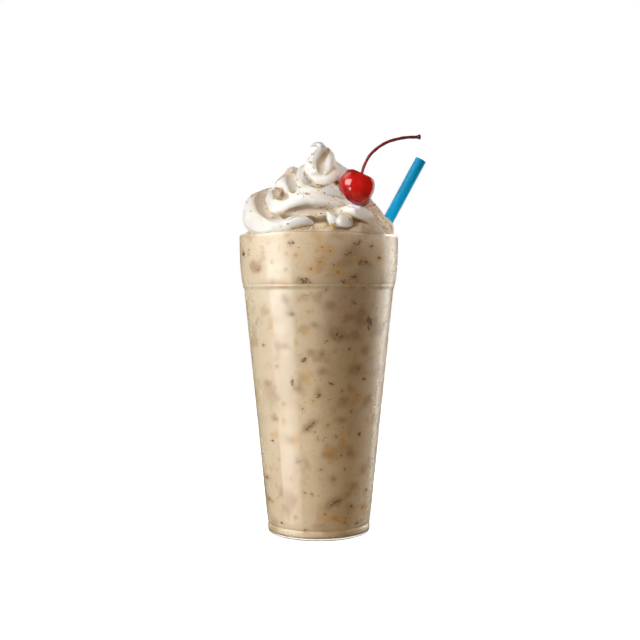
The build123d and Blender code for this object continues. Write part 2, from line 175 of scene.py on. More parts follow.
class Nodes:
    """A short way to write a material's nodes."""

    def __init__(self, name):
        self.mat = bpy.data.materials.new(name)
        self.mat.use_nodes = True
        self.nt = self.mat.node_tree
        self.bsdf = self.nt.nodes["Principled BSDF"]
        self.out = self.nt.nodes["Material Output"]

    def add(self, kind, **props):
        n = self.nt.nodes.new(kind)
        for k, v in props.items():
            setattr(n, k, v)
        return n

    def link(self, a, b):
        self.nt.links.new(a, b)

    def noise(self, scale, detail=3.0, rough=0.5, coord="Object", distortion=0.0):
        c = self.add("ShaderNodeTexCoord")
        n = self.add("ShaderNodeTexNoise")
        n.inputs["Scale"].default_value = scale
        n.inputs["Detail"].default_value = detail
        n.inputs["Roughness"].default_value = rough
        n.inputs["Distortion"].default_value = distortion
        self.link(c.outputs[coord], n.inputs["Vector"])
        return n.outputs["Fac"]

    def ramp(self, fac, stops):
        r = self.add("ShaderNodeValToRGB")
        while len(r.color_ramp.elements) < len(stops):
            r.color_ramp.elements.new(0.5)
        for e, (pos, col) in zip(r.color_ramp.elements, stops):
            e.position = pos
            e.color = (*col, 1.0) if len(col) == 3 else col
        self.link(fac, r.inputs["Fac"])
        return r.outputs["Color"]

    def mix(self, fac, a, b, blend="MIX"):
        m = self.add("ShaderNodeMix", data_type="RGBA", blend_type=blend)
        for sock, val in ((m.inputs[0], fac), (m.inputs[6], a), (m.inputs[7], b)):
            if isinstance(val, (int, float)):
                sock.default_value = val
            elif isinstance(val, tuple):
                sock.default_value = (*val, 1.0)
            else:
                self.link(val, sock)
        return m.outputs[2]

    def math(self, op, a, b=0.0, clamp=False):
        m = self.add("ShaderNodeMath", operation=op, use_clamp=clamp)
        for sock, val in ((m.inputs[0], a), (m.inputs[1], b)):
            if isinstance(val, (int, float)):
                sock.default_value = val
            else:
                self.link(val, sock)
        return m.outputs[0]

    def attr(self, name, out="Fac"):
        a = self.add("ShaderNodeAttribute", attribute_name=name)
        return a.outputs[out]

    def bump(self, height, strength, distance):
        b = self.add("ShaderNodeBump")
        b.inputs["Strength"].default_value = strength
        b.inputs["Distance"].default_value = distance
        self.link(height, b.inputs["Height"])
        self.link(b.outputs["Normal"], self.bsdf.inputs["Normal"])
        return b

    def set(self, **vals):
        for k, v in vals.items():
            self.bsdf.inputs[k.replace("_", " ")].default_value = v


# ------------------------------------------------------------------ camera
cam_data = bpy.data.cameras.new("camera")
cam_data.sensor_width = 36.0
cam_data.lens = 36.0 * 1008.0 / 640.0
cam_data.clip_start = 0.01
cam_data.clip_end = 20.0
camera = bpy.data.objects.new("camera", cam_data)
bpy.context.scene.collection.objects.link(camera)
camera.location = (0.0007, -0.585, 0.138)
camera.rotation_euler = (math.radians(90 - 1.534), 0, 0)
bpy.context.scene.camera = camera

# ------------------------------------------------------------------ light
world = bpy.data.worlds.new("studio")
bpy.context.scene.world = world
world.use_nodes = True
world.node_tree.nodes["Background"].inputs["Color"].default_value = (1.0, 0.61, 0.32, 1)
world.node_tree.nodes["Background"].inputs["Strength"].default_value = 0.10


def area(name, azimuth, elevation, distance, size, size_y, power, color=(1, 1, 1), aim=(0, 0, 0.12), spread=180):
    """An area lamp at an azimuth measured from the camera's side towards +X."""
    d = bpy.data.lights.new(name, "AREA")
    d.shape = "RECTANGLE"
    d.size, d.size_y = size, size_y
    d.energy = power
    d.color = color
    d.spread = math.radians(spread)
    o = bpy.data.objects.new(name, d)
    bpy.context.scene.collection.objects.link(o)
    a, e = math.radians(azimuth), math.radians(elevation)
    t = Vector(aim)
    o.location = t + Vector((math.sin(a) * math.cos(e), -math.cos(a) * math.cos(e), math.sin(e))) * distance
    o.rotation_euler = (t - o.location).to_track_quat("-Z", "Y").to_euler()
    return o


key = area("key", -64, 4, 0.85, 0.48, 0.95, 8.2, color=(0.97, 0.985, 1.0))
key_gloss = area("key_gloss", -57, 27, 0.85, 0.60, 0.36, 5.0)
key_low = area("key_low", -59, -18, 0.88, 0.62, 0.52, 12.5)
fill = area("fill", -9, 0, 0.55, 0.30, 0.06, 0.050, color=(1.0, 0.78, 0.50), aim=(0, 0, 0.036), spread=42)
rim = area("rim", 120, 2, 0.80, 0.26, 0.80, 7.2)
rim_gloss = area("rim_gloss", 132, 6, 0.80, 0.30, 0.80, 1.2)
top = area("top", -100, 52, 0.80, 0.45, 0.45, 1.1, aim=(0, 0, 0.19))
soft_top = area("soft_top", 6, 26, 0.70, 0.12, 0.05, 0.0145, aim=(0.008, 0, 0.182), spread=8)
for lamp in (key, rim, fill, soft_top):
    lamp.visible_glossy = False
for lamp in (key_gloss, key_low, rim_gloss):
    lamp.visible_diffuse = False

# ------------------------------------------------------------------ stage
def stage_plane():
    """A flat floor and, far behind, a tall drum as backdrop; only the camera and clear plastic see them bright."""
    me = bpy.data.meshes.new("floor")
    s = 3.0
    me.from_pydata([(-s, -s, 0), (s, -s, 0), (s, s, 0), (-s, s, 0)], [], [(0, 1, 2, 3)])
    ob = bpy.data.objects.new("floor", me)
    bpy.context.scene.collection.objects.link(ob)
    n = Nodes("floor_white")
    n.set(Base_Color=(0.95, 0.95, 0.95, 1), Roughness=0.9)
    n.bsdf.inputs["Specular IOR Level"].default_value = 0.1
    n.bsdf.inputs["Emission Color"].default_value = (1, 1, 1, 1)
    n.bsdf.inputs["Emission Strength"].default_value = 0.96
    n.mat.cycles.emission_sampling = "NONE"
    me.materials.append(n.mat)
    ob.visible_diffuse = False
    ob.visible_glossy = False
    # backdrop: a tall drum round the stage
    v, f = [], []
    k = 64
    for i in range(k):
        a = 2 * math.pi * i / k
        v += [(2.9 * math.cos(a), 2.9 * math.sin(a), -0.02), (2.9 * math.cos(a), 2.9 * math.sin(a), 3.2)]
    f = [(2 * i, 2 * ((i + 1) % k), 2 * ((i + 1) % k) + 1, 2 * i + 1) for i in range(k)]
    f.append([2 * i + 1 for i in range(k)])
    me = bpy.data.meshes.new("backdrop")
    me.from_pydata(v, [], f)
    bd = bpy.data.objects.new("backdrop", me)
    bpy.context.scene.collection.objects.link(bd)
    m = bpy.data.materials.new("backdrop_white")
    m.use_nodes = True
    nt = m.node_tree
    nt.nodes.clear()
    e = nt.nodes.new("ShaderNodeEmission")
    e.inputs["Strength"].default_value = 1.0
    e.inputs["Color"].default_value = (1, 1, 1, 1)
    o = nt.nodes.new("ShaderNodeOutputMaterial")
    nt.links.new(e.outputs[0], o.inputs["Surface"])
    m.cycles.emission_sampling = "NONE"
    me.materials.append(m)
    bd.visible_diffuse = False
    bd.visible_glossy = False
    bd.visible_shadow = False
    bd.visible_volume_scatter = False


stage_plane()

# ------------------------------------------------------------------ cup
def cup_side(inset):
    r_foot, r_sh, r_band, r_rim = FOOT_D / 2, SHOULDER_D / 2, BAND_D / 2, RIM_D / 2
    return [
        (r_foot - 1.35 - 0.4 * inset, 0.0 + 1.1 * inset),
        (r_foot - 0.45 - 0.8 * inset, 0.35 + 1.0 * inset),
        (r_foot - 0.05 - inset, 1.3 + 0.8 * inset),
        (r_foot + 0.10 - inset, FOOT_H - 1.2),
        (r_foot - 0.25 - inset, FOOT_H - 0.35),
        (r_foot - 0.42 - inset, FOOT_H + 0.15),
        (r_foot - 0.15 - inset, FOOT_H + 0.7),
        (r_foot + 0.25 - inset, FOOT_H + 1.4),
        (r_foot + 0.20 + 2.6 - inset, FOOT_H + 1.0 + 26.0),
        (r_sh - inset, SHOULDER_Z - 1.5),
        (r_sh + 0.22 - inset, SHOULDER_Z - 0.6),
        (r_sh + 0.72 - inset, SHOULDER_Z + 0.4),
        (r_sh + 0.98 - inset, SHOULDER_Z + 1.0),
        (r_sh + 0.80 - inset, SHOULDER_Z + 1.65),
        (r_sh + 0.84 - inset, SHOULDER_Z + 1.95),
        (r_sh + 1.15 - inset, SHOULDER_Z + 2.5),
        (r_sh + 1.45 - inset, SHOULDER_Z + 4.0),
        (r_band - inset, SHOULDER_Z + 6.6),
        (r_band + 0.55 - inset, SHOULDER_Z + 12.0),
        (r_rim - 0.15 - inset, SHOULDER_Z + 19.5),
        (r_rim - inset, CUP_H - 0.55),
    ]


def side_line(inset):
    """The side with a straight taper between the foot and the shoulder, its corners softened."""
    p = cup_side(inset)
    r0, z0 = p[7]
    r1, z1 = p[9]
    p[8] = (r0 + (r1 - r0) * 26.0 / (z1 - z0), z0 + 26.0)
    return p


def thin(line, off=0.006, longest=4.0):
    """Drops the points of a profile that lie on the straight between their neighbours."""
    line = np.asarray(line, float)
    keep, i = [0], 0
    while i < len(line) - 1:
        j = i + 1
        while j + 1 < len(line) and np.hypot(*(line[j + 1] - line[i])) < longest:
            d = (line[j + 1] - line[i]) / max(1e-9, np.hypot(*(line[j + 1] - line[i])))
            w = line[i + 1:j + 1] - line[i]
            if np.abs(w[:, 0] * d[1] - w[:, 1] * d[0]).max() > off:
                break
            j += 1
        keep.append(j)
        i = j
    return line[keep]


under = [(0.0, FLOOR_Z - 0.7), (FOOT_D / 2 - 5.4, FLOOR_Z - 0.7), (FOOT_D / 2 - 4.4, FLOOR_Z - 0.75), (FOOT_D / 2 - 3.5, 0.25), (FOOT_D / 2 - 3.1, 0.0)]
floor_in = [(0.0, FLOOR_Z), (FOOT_D / 2 - 5.2, FLOOR_Z), (FOOT_D / 2 - 4.1, FLOOR_Z - 0.05), (FOOT_D / 2 - 3.2, 1.35 * WALL), (FOOT_D / 2 - 2.6, 1.1 * WALL)]
low_out = thin(rounded(under, 0.5))
out_line = thin(rounded(side_line(0.0), 0.4))
in_line = thin(rounded(side_line(WALL), 0.4))
low_in = thin(rounded(floor_in, 0.5))
a = np.linspace(0, np.pi, 9)[1:-1]
lip = np.stack([RIM_D / 2 - WALL / 2 + WALL / 2 * np.cos(a), CUP_H - 0.55 + 0.55 * np.sin(a)], -1)
cup_profile = np.vstack([low_out, out_line, lip, in_line[::-1], low_in[::-1]])
v, f = lathe(cup_profile, 240)
cup = mesh_object("cup_clear", v, f, ["cup"])

n = Nodes("cup_plastic_clear")
n.set(Base_Color=(0.97, 0.965, 0.955, 1), Roughness=0.16, IOR=1.46)
n.bsdf.inputs["Transmission Weight"].default_value = 1.0
haze = n.ramp(n.noise(24.0, 4.0, 0.6), [(0.35, (0.19, 0.19, 0.19)), (0.7, (0.30, 0.30, 0.30))])
n.link(haze, n.bsdf.inputs["Roughness"])
lp = n.add("ShaderNodeLightPath")
tr = n.add("ShaderNodeBsdfTransparent")
tr.inputs["Color"].default_value = (0.97, 0.965, 0.955, 1)
inner = n.add("ShaderNodeMixShader")
n.link(lp.outputs["Is Diffuse Ray"], inner.inputs[0])
n.link(n.bsdf.outputs[0], inner.inputs[1])
n.link(tr.outputs[0], inner.inputs[2])
mx = n.add("ShaderNodeMixShader")
n.link(lp.outputs["Is Shadow Ray"], mx.inputs[0])
n.link(inner.outputs[0], mx.inputs[1])
n.link(tr.outputs[0], mx.inputs[2])
n.link(mx.outputs[0], n.out.inputs["Surface"])
cup.data.materials.append(n.mat)

# ------------------------------------------------------------------ whipped cream
# The same folds and furrows as the solid, at full fineness: ropes through
# stations (x, y, z, radius) that melt together, with furrows pressed between.
FOLDS = {
    "heap": [(0, 4, 176, 31), (0.1, 4, 176, 31)],
    "core": [(2, 0, 176, 29), (2, 0, 188, 21), (2, 0, 198, 13)],
    "coil_0_back": [(-30, 12, 186, 7.5), (-30.5, 19.5, 182, 8.8), (-21, 29.5, 178.5, 9), (-6, 35.8, 177.2, 9), (9, 35.3, 176.8, 9),
                    (22.5, 28.6, 176.6, 9), (31.5, 18.5, 176, 8.7), (36, 7, 175, 8)],
    "coil_1_back": [(-22, 8, 191, 6.5), (-19, 18.5, 190.5, 7.2), (-6, 24.5, 190, 7.8), (9, 24.5, 189, 8), (20, 18.5, 188, 8),
                    (26, 8, 185, 8)],
    "coil_2_back": [(-12, 8, 197, 6.5), (-8, 15, 197, 6.8), (3, 16.5, 197, 7), (13, 12.5, 196.5, 7), (19, 6, 192.5, 7.5)],
    "coil_3_back": [(-4, 7, 203, 5.5), (2.5, 9, 203.5, 5.6), (7.5, 6.5, 203, 5.4)],
    "A": [(-28, 18, 194.2, 6.5), (-32.3, 10, 191.7, 6.6), (-35.4, 2, 188.7, 6.9), (-35.2, -6, 184.8, 7.8),
          (-34.4, -14, 180.5, 8.6), (-31.7, -22, 177.7, 8.2), (-27.5, -29, 175.5, 7.2), (-22.9, -33, 174.1, 5.6),
          (-19.5, -35.5, 173.3, 4)],
    "A2": [(-20.6, -35, 172.9, 3.8), (-16.7, -37.5, 174.8, 3.6), (-12.4, -38.5, 176.3, 3.5), (-8, -38.3, 176.6, 3),
           (-4.5, -37, 176.1, 1.7)],
    "B2": [(-20.3, 4, 194.1, 5.5), (-24, -6, 194, 4.6), (-25.9, -14, 191.8, 3.8), (-26.2, -20, 189, 3.5),
           (-25.4, -25, 185.8, 3.6), (-22.8, -28.5, 183.5, 3.8), (-19.1, -31, 184.2, 3.8), (-15.2, -33, 186.2, 3.8),
           (-10.8, -34.5, 188.2, 3.8), (-5.9, -35, 189.3, 3.8), (-0.4, -35, 188.5, 3.8), (5, -34, 187.7, 3.6),
           (10.5, -32, 186.8, 3), (15.6, -29, 185.7, 2.4)],
    "B1": [(-23.5, -25, 185.2, 4), (-18.1, -29, 188.5, 4.6), (-12.5, -31, 191, 4.6), (-7, -31.5, 192.6, 4.6),
           (-1, -31, 193.2, 4.4), (4.5, -29.5, 193.1, 4), (9, -27.5, 192.2, 3.4), (12.4, -24, 190.3, 2.6)],
    "CD_fill": [(-15, 2, 206.7, 4.6), (-15.4, -5, 203, 5), (-15.2, -11.5, 199.4, 4.8), (-14.8, -17, 196, 4.4),
                (-14.4, -22, 192.7, 4)],
    "C": [(-10.4, 6, 204.3, 5.2), (-15.6, 0, 202.4, 5.2), (-18.8, -7, 200.5, 5), (-20.6, -12, 198.8, 4.3)],
    "C_floor": [(-21.9, -2, 187.7, 4.6), (-21.6, -9, 186.9, 4.6), (-20.2, -15, 186.1, 4.2)],
    "C_edge": [(-18.9, -5, 204.7, 1.9), (-19.1, -12, 201.1, 1.8), (-18.5, -17, 198, 1.9), (-16.7, -21.5, 195.3, 1.9),
               (-14.9, -25, 193, 1.6)],
    "D": [(-8, -4, 207.7, 4), (-9, -11, 204.1, 3.6), (-9.5, -18, 199.9, 3.4), (-8.8, -23, 196, 3.4),
          (-5.4, -27, 193.4, 3.6)],
    "T": [(-5.6, -9.5, 204.8, 4.2), (-3.6, -13, 202.6, 4.1), (0.4, -16, 201.3, 3.9), (4.3, -16.5, 201.6, 3.8),
          (8, -14.5, 203.7, 3.6), (9.8, -10, 207.1, 3.1)],
    "T_fill": [(7, -8.5, 200.6, 3.6), (9.3, -7.5, 201.3, 3.8), (11.3, -6, 202, 3.6)],
    "T_up": [(-3.9, -9, 207.7, 5), (-1, -11.5, 206, 5), (3, -12, 206.2, 5), (6.4, -10.5, 208.1, 4.4)],
    "P0": [(-0.5, -6, 202.9, 9), (0.7, -6.5, 208, 6.6), (1.6, -5.5, 212.7, 4.4), (2.1, -4.5, 216.9, 3),
           (1.6, -4.2, 220.4, 2)],
    "P1": [(-3.6, -9.5, 207.1, 5.4), (-3.3, -9.5, 210.5, 4.4), (-2.2, -9.5, 213.9, 3.4), (0.4, -8.6, 217.5, 2.9),
           (1.8, -7, 220.3, 2.4), (1, -5.8, 222.4, 1.8), (-1.3, -5.2, 223.1, 1.3), (-3.3, -5.2, 222.7, 0.8),
           (-4.8, -5.4, 221.9, 0.4)],
    "P2": [(5, -5, 220, 1.3), (6.4, -7.5, 217.1, 2), (6.6, -10.5, 213.8, 2.8), (6.2, -12.8, 210.9, 3.3),
           (5.5, -13.8, 208.3, 2.9), (4.4, -14.5, 206.2, 2.4)],
    "P3": [(3, -2, 221, 1.8), (4.2, -1, 217.7, 2.4), (5.6, 0, 214, 3.4), (7.7, 1, 210.1, 4.8), (11.2, 3, 205.7, 6.5)],
    "W": [(13.2, -34, 181.8, 2.8), (16.4, -36.5, 182.2, 3.5), (20.2, -37.5, 181.7, 3.9), (24.1, -36.5, 180.6, 3.8),
          (27.1, -34.5, 178.7, 3.1), (28.9, -32.5, 176.9, 2.2)],
    "W_fill": [(14.4, -31, 179.2, 2.8), (18.8, -31, 178.7, 3), (23.8, -30.5, 178.2, 2.8)],
    "S": [(18.1, -36, 172.3, 2.8), (23, -36.5, 173.1, 3.2), (27.9, -35, 173.2, 3.3), (32.5, -32, 172, 3),
          (34.9, -29, 170.5, 2.4)],
    "dab_round": [(11.7, -40, 176.5, 2.7), (13.6, -41.5, 176.9, 3.7), (15.2, -41, 176.2, 3.4)],
    "dab_point": [(4.4, -40, 181.7, 0.5), (5.7, -40.6, 179.8, 1.5), (7.1, -41, 177.7, 2.5), (9, -40.6, 175.9, 2.9)],
    "right": [(12.9, 3, 203.3, 7.5), (18.1, 0, 194.9, 7.5), (23.7, -4, 187.6, 7.5), (28.2, -8, 182.1, 7.5),
              (31.9, -12, 176.1, 7.5), (34.7, -14, 172.6, 6)],
    "right_front": [(14.1, -21, 182.2, 5.6), (20.2, -21.5, 180.5, 6.2), (25.9, -20.5, 178.3, 6.3), (30.5, -18.5, 175.7, 5.8),
                    (33.8, -18.5, 172.8, 5)],
    "mid_left": [(-26.1, -22, 182.1, 4.6), (-19.3, -26.5, 182.3, 5), (-12.6, -29, 183, 5.2), (-5.4, -30, 183.4, 5.4),
                 (1.8, -29.5, 183.7, 5.4), (7.8, -29, 183.5, 5.6), (13.9, -27, 181.7, 5.6)],
    "base_front": [(9.5, -30, 174.1, 5), (14.9, -31, 173.7, 5.6), (20.5, -30, 173.2, 6)],
}
FURROWS = {
    "valley_A_B": [(-32.6, 3.7, 196.4, 2.2), (-33.2, -10.6, 191.6, 2.8), (-32, -22.6, 186.5, 2.9), (-29.6, -31, 182.5, 2.6),
                   (-26, -36.9, 179.1, 1.9), (-22.1, -38.5, 177.6, 1.4)],
    "under_B": [(-25.5, -35.5, 178.3, 1.1), (-19.5, -35.2, 179.7, 1.9), (-14.1, -35.1, 181.5, 2.4), (-8.6, -35.2, 182.7, 2.7),
                (-2.6, -35.4, 182.5, 2.7), (2.8, -35.8, 181.9, 2.5), (7.7, -36.1, 181.3, 2)],
    "dark_under": [(-26.6, -36.2, 178, 0.8), (-21, -39.5, 177, 0.9), (-16.1, -40.3, 178, 0.9), (-11.3, -39, 179.4, 0.8),
                   (-5.9, -35.2, 179.6, 0.8), (-1.5, -30, 178.2, 0.8)],
    "C_hollow": [(-23.9, -14.3, 194.9, 2.2), (-22.6, -22.1, 191.9, 2.6), (-20.3, -28.6, 190.4, 2.5), (-17.9, -35.7, 191.1, 1.9)],
    "C_D": [(-15.8, -11.4, 205.7, 2.2), (-15.4, -15.8, 201.8, 2.7), (-14.6, -24.7, 197.5, 2.6), (-13.8, -34.3, 194, 1.8)],
    "under_T": [(-8.2, -23.9, 200.9, 0.8), (-6.2, -30.5, 197.4, 0.9), (-2.6, -33.9, 195.8, 0.9), (1.8, -32.8, 195.8, 0.9),
                (6.8, -24.8, 197.5, 0.9), (10.9, -12.2, 200.8, 0.8)],
    "G1": [(5.8, -8.6, 218.6, 0.9), (3.5, -10.3, 215.5, 1.6), (1.6, -12.7, 212.4, 2.1), (1, -15.3, 209.2, 2),
           (1.2, -18.3, 206, 1.5)],
    "G2": [(8.9, -15.2, 208.4, 0.6), (6.9, -17.4, 206.1, 0.7), (4.3, -19, 204.5, 0.7)],
    "band_line": [(-3.7, -38.6, 189.9, 0.5), (0.7, -38.6, 189.4, 0.6), (5.5, -37.5, 188.6, 0.6), (9.9, -35.6, 187.8, 0.6),
                  (13.8, -33.3, 186.9, 0.5)],
    "A_A2": [(-20.7, -39.5, 175.3, 0.6), (-19.7, -40.1, 172.9, 0.6), (-19.1, -39.3, 171.3, 0.6)],
    "W_S": [(17.3, -42.5, 176.7, 1.1), (20.7, -39.2, 176, 1.3), (24, -37.5, 175.5, 1.3), (27.3, -37.4, 174.6, 1.2),
            (29.9, -38.7, 173, 0.9)],
    "W_over": [(14.8, -37.5, 185.1, 0.6), (18, -39.5, 185.1, 0.7), (21.7, -40.7, 183.6, 0.7), (25.5, -40.2, 181, 0.7)],
}
MELT, EDGE = 1.5, 0.35
CELL = 0.56
FIELD_LOW, FIELD_HIGH = np.array((-49.0, -49.0, 164.0)), np.array((49.0, 49.0, 230.0))


def rope(stations, step=1.2):
    p = np.array(stations, float)
    if len(p) == 2:
        return p
    q = np.vstack([2 * p[0] - p[1], p, 2 * p[-1] - p[-2]])
    out = []
    for i in range(1, len(q) - 2):
        m = max(2, int(np.ceil(np.linalg.norm(q[i + 1, :3] - q[i, :3]) / step)))
        t = (np.arange(m) / m)[:, None]
        a, b, c, d = q[i - 1], q[i], q[i + 1], q[i + 2]
        out.append(0.5 * (2 * b + (c - a) * t + (2 * a - 5 * b + 4 * c - d) * t ** 2 + (3 * b - a - 3 * c + d) * t ** 3))
    return np.vstack(out + [p[-1:]])


axes3 = [np.arange(FIELD_LOW[i], FIELD_HIGH[i] + CELL / 2, CELL) for i in range(3)]


def window(lines, low, high):
    return tuple(slice(max(0, int(np.searchsorted(lines[i], low[i]))), int(np.searchsorted(lines[i], high[i])) + 1) for i in range(3))


def rope_distance(stations, margin=4.0):
    s = rope(stations)
    box = window(axes3, (s[:, :3] - s[:, 3:]).min(0) - margin, (s[:, :3] + s[:, 3:]).max(0) + margin)
    lines = [axes3[i][box[i]] for i in range(3)]
    dist = np.full([len(v) for v in lines], 99.0, np.float32)
    for a, b in zip(s[:-1], s[1:]):
        reach = max(a[3], b[3]) + margin
        w = window(lines, np.minimum(a[:3], b[:3]) - reach, np.maximum(a[:3], b[:3]) + reach)
        x, y, z = (lines[0][w[0]][:, None, None].astype(np.float32), lines[1][w[1]][None, :, None].astype(np.float32),
                   lines[2][w[2]][None, None, :].astype(np.float32))
        d = b - a
        t = ((x - a[0]) * d[0] + (y - a[1]) * d[1] + (z - a[2]) * d[2]) / max(1e-9, float(d[:3] @ d[:3]))
        t = np.clip(t, 0, 1)
        r = np.sqrt((x - a[0] - t * d[0]) ** 2 + (y - a[1] - t * d[1]) ** 2 + (z - a[2] - t * d[2]) ** 2)
        dist[w] = np.minimum(dist[w], r - (a[3] + t * d[3]))
    return box, dist


def soft_min(a, b, width):
    h = np.clip(0.5 + 0.5 * (b - a) / width, 0, 1)
    return b * (1 - h) + a * h - width * h * (1 - h)


field = np.full([len(v) for v in axes3], 12.0, np.float32)
for stations in FOLDS.values():
    box, dist = rope_distance(stations)
    field[box] = soft_min(field[box], dist, MELT)
for stations in FURROWS.values():
    box, dist = rope_distance(stations)
    field[box] = -soft_min(-field[box], dist, EDGE)

# inside the cup the cream keeps to the wall
X, Y, Z = np.meshgrid(*axes3, indexing="ij", sparse=True)
rad = np.sqrt(X ** 2 + Y ** 2)
wall_r = RIM_D / 2 - WALL + 0.12 + np.clip((Z - (CUP_H - 0.3)) * 0.9, 0, 0.55)
field = np.maximum(field, rad - wall_r).astype(np.float32)
# flat, hidden underside inside the drink
field = np.maximum(field, (168.0 - Z)).astype(np.float32)
# room for the straw
sd = (STRAW_HIGH - STRAW_LOW) / np.linalg.norm(STRAW_HIGH - STRAW_LOW)
px, py, pz = X - STRAW_LOW[0], Y - STRAW_LOW[1], Z - STRAW_LOW[2]
along = px * sd[0] + py * sd[1] + pz * sd[2]
off = np.sqrt(np.maximum(0, px ** 2 + py ** 2 + pz ** 2 - along ** 2))
field = np.maximum(field, (STRAW_D / 2 - 0.15) - off).astype(np.float32)
del px, py, pz, along, off


def field_at(p):
    size = np.array(field.shape)
    q = np.clip((p - FIELD_LOW) / CELL, 0, size - 1.001)
    i = q.astype(int)
    f = q - i
    total = 0.0
    for dx in (0, 1):
        for dy in (0, 1):
            for dz in (0, 1):
                wgt = np.abs(1 - dx - f[:, 0]) * np.abs(1 - dy - f[:, 1]) * np.abs(1 - dz - f[:, 2])
                total = total + wgt * field[i[:, 0] + dx, i[:, 1] + dy, i[:, 2] + dz]
    return total


def slope_at(p, e=0.5):
    g = np.stack([field_at(p + e * np.eye(3)[k]) - field_at(p - e * np.eye(3)[k]) for k in range(3)], -1) / (2 * e)
    return g


def surface_nets(F, low, h):
    """Quads of the surface where F changes sign: one point in each crossed cell."""
    inside = F < 0
    s = np.zeros([k - 1 for k in F.shape], np.int8)
    corners = [(i, j, k) for i in (0, 1) for j in (0, 1) for k in (0, 1)]
    for c in corners:
        s += inside[c[0]:F.shape[0] - 1 + c[0], c[1]:F.shape[1] - 1 + c[1], c[2]:F.shape[2] - 1 + c[2]]
    active = (s > 0) & (s < 8)
    idx = np.full(active.shape, -1, np.int64)
    cells = np.argwhere(active)
    idx[active] = np.arange(len(cells))
    acc, cnt = np.zeros((len(cells), 3)), np.zeros(len(cells))
    for a in corners:
        for ax in range(3):
            if a[ax]:
                continue
            b = list(a)
            b[ax] = 1
            fa = F[cells[:, 0] + a[0], cells[:, 1] + a[1], cells[:, 2] + a[2]]
            fb = F[cells[:, 0] + b[0], cells[:, 1] + b[1], cells[:, 2] + b[2]]
            m = (fa < 0) != (fb < 0)
            t = fa[m] / (fa[m] - fb[m])
            p = np.tile(np.array(a, float), (m.sum(), 1))
            p[:, ax] += t
            acc[m] += p
            cnt[m] += 1
    verts = low + h * (cells + acc / cnt[:, None])
    quads = []
    for ax in range(3):
        u, w = [(1, 2), (2, 0), (0, 1)][ax]
        n0 = [slice(None)] * 3
        n1 = [slice(None)] * 3
        n0[ax], n1[ax] = slice(0, -1), slice(1, None)
        ia, ib = inside[tuple(n0)], inside[tuple(n1)]
        e = np.argwhere(ia != ib)
        ok = (e[:, u] > 0) & (e[:, w] > 0) & (e[:, u] < F.shape[u] - 1) & (e[:, w] < F.shape[w] - 1)
        e = e[ok]
        du, dw = np.zeros(3, int), np.zeros(3, int)
        du[u], dw[w] = 1, 1
        q = np.stack([idx[tuple((e - du - dw).T)], idx[tuple((e - dw).T)], idx[tuple(e.T)], idx[tuple((e - du).T)]], -1)
        flip = ~ia[tuple(e.T)]
        q[flip] = q[flip][:, ::-1]
        quads.append(q)
    return verts, np.vstack(quads)


cream_v, cream_f = surface_nets(field, FIELD_LOW, CELL)
for _ in range(2):
    g = slope_at(cream_v, 0.4)
    cream_v -= np.clip(field_at(cream_v), -0.3, 0.3)[:, None] * g / np.maximum((g ** 2).sum(1), 0.2)[:, None]
g = slope_at(cream_v, 0.8)
cream_n = g / np.maximum(np.linalg.norm(g, axis=1), 1e-6)[:, None]
lift = 0.34 * fbm(cream_v, 7.0, 3, 3) + 0.15 * fbm(cream_v, 2.4, 9, 3)
hold = smooth((cream_v[:, 2] - 171.5) / 3.0)
cream_v = cream_v + cream_n * (lift * hold)[:, None]
# how open each point is to its surroundings; the cream material turns low openness into painted shade in creases and
# hollows (partly crumb dust), and crumbs gather there
openness = np.mean([np.clip(field_at(cream_v + cream_n * r) / r, 0, 1) for r in (1.2, 2.4, 4.0, 6.0)], axis=0)

# along each furrow the cream is tinted tan, partly by crumb dust and drink and partly as painted shade in the fold:
# strength and reach of each furrow
DUST_AND_SHADE_BY_FURROW = {"valley_A_B": (0.85, 4.2), "under_B": (0.62, 5.2), "dark_under": (0.9, 1.7), "C_hollow": (0.75, 3.6), "C_D": (0.75, 3.8), "under_T": (0.8, 1.7),
          "G1": (0.85, 2.4), "G2": (0.8, 1.4), "band_line": (0.35, 1.8), "A_A2": (0.3, 1.0), "W_over": (0.6, 1.8), "W_S": (0.9, 2.2)}
dust_and_shade = np.zeros(len(cream_v))
for key_, (strength, reach) in DUST_AND_SHADE_BY_FURROW.items():
    pts = rope(FURROWS[key_], 0.8)[:, :3]
    low, high = pts.min(0) - 3 * reach, pts.max(0) + 3 * reach
    near = np.flatnonzero(((cream_v > low) & (cream_v < high)).all(1))
    d = np.sqrt(((cream_v[near, None, :] - pts[None]) ** 2).sum(-1)).min(1)
    dust_and_shade[near] = np.maximum(dust_and_shade[near], strength * np.exp(-(d / reach) ** 2))
# painted shade: the lower right-hand side of the cream, turned away from the key lamp, is tinted tan
dust_and_shade = np.maximum(dust_and_shade, 0.8 * smooth((cream_v[:, 0] - 13) / 8) * smooth((188 - cream_v[:, 2] + 0.5 * (cream_v[:, 0] - 20)) / 8))
front = smooth((-cream_v[:, 1] - 32.5) / 3) * smooth((cream_v[:, 2] - 175.0 - 0.25 * (cream_v[:, 0] - 18)) / 3) * smooth((33 - cream_v[:, 0]) / 4)
dust_and_shade = dust_and_shade * (1 - 0.8 * front)
dust_and_shade = np.clip(dust_and_shade * (1 + 0.45 * fbm(cream_v, 3.2, 61, 3)), 0, 1)
cream = mesh_object("cream_swirl", cream_v, cream_f, ["whipped_cream"], attrs={"open": openness, "dust_and_shade": dust_and_shade})

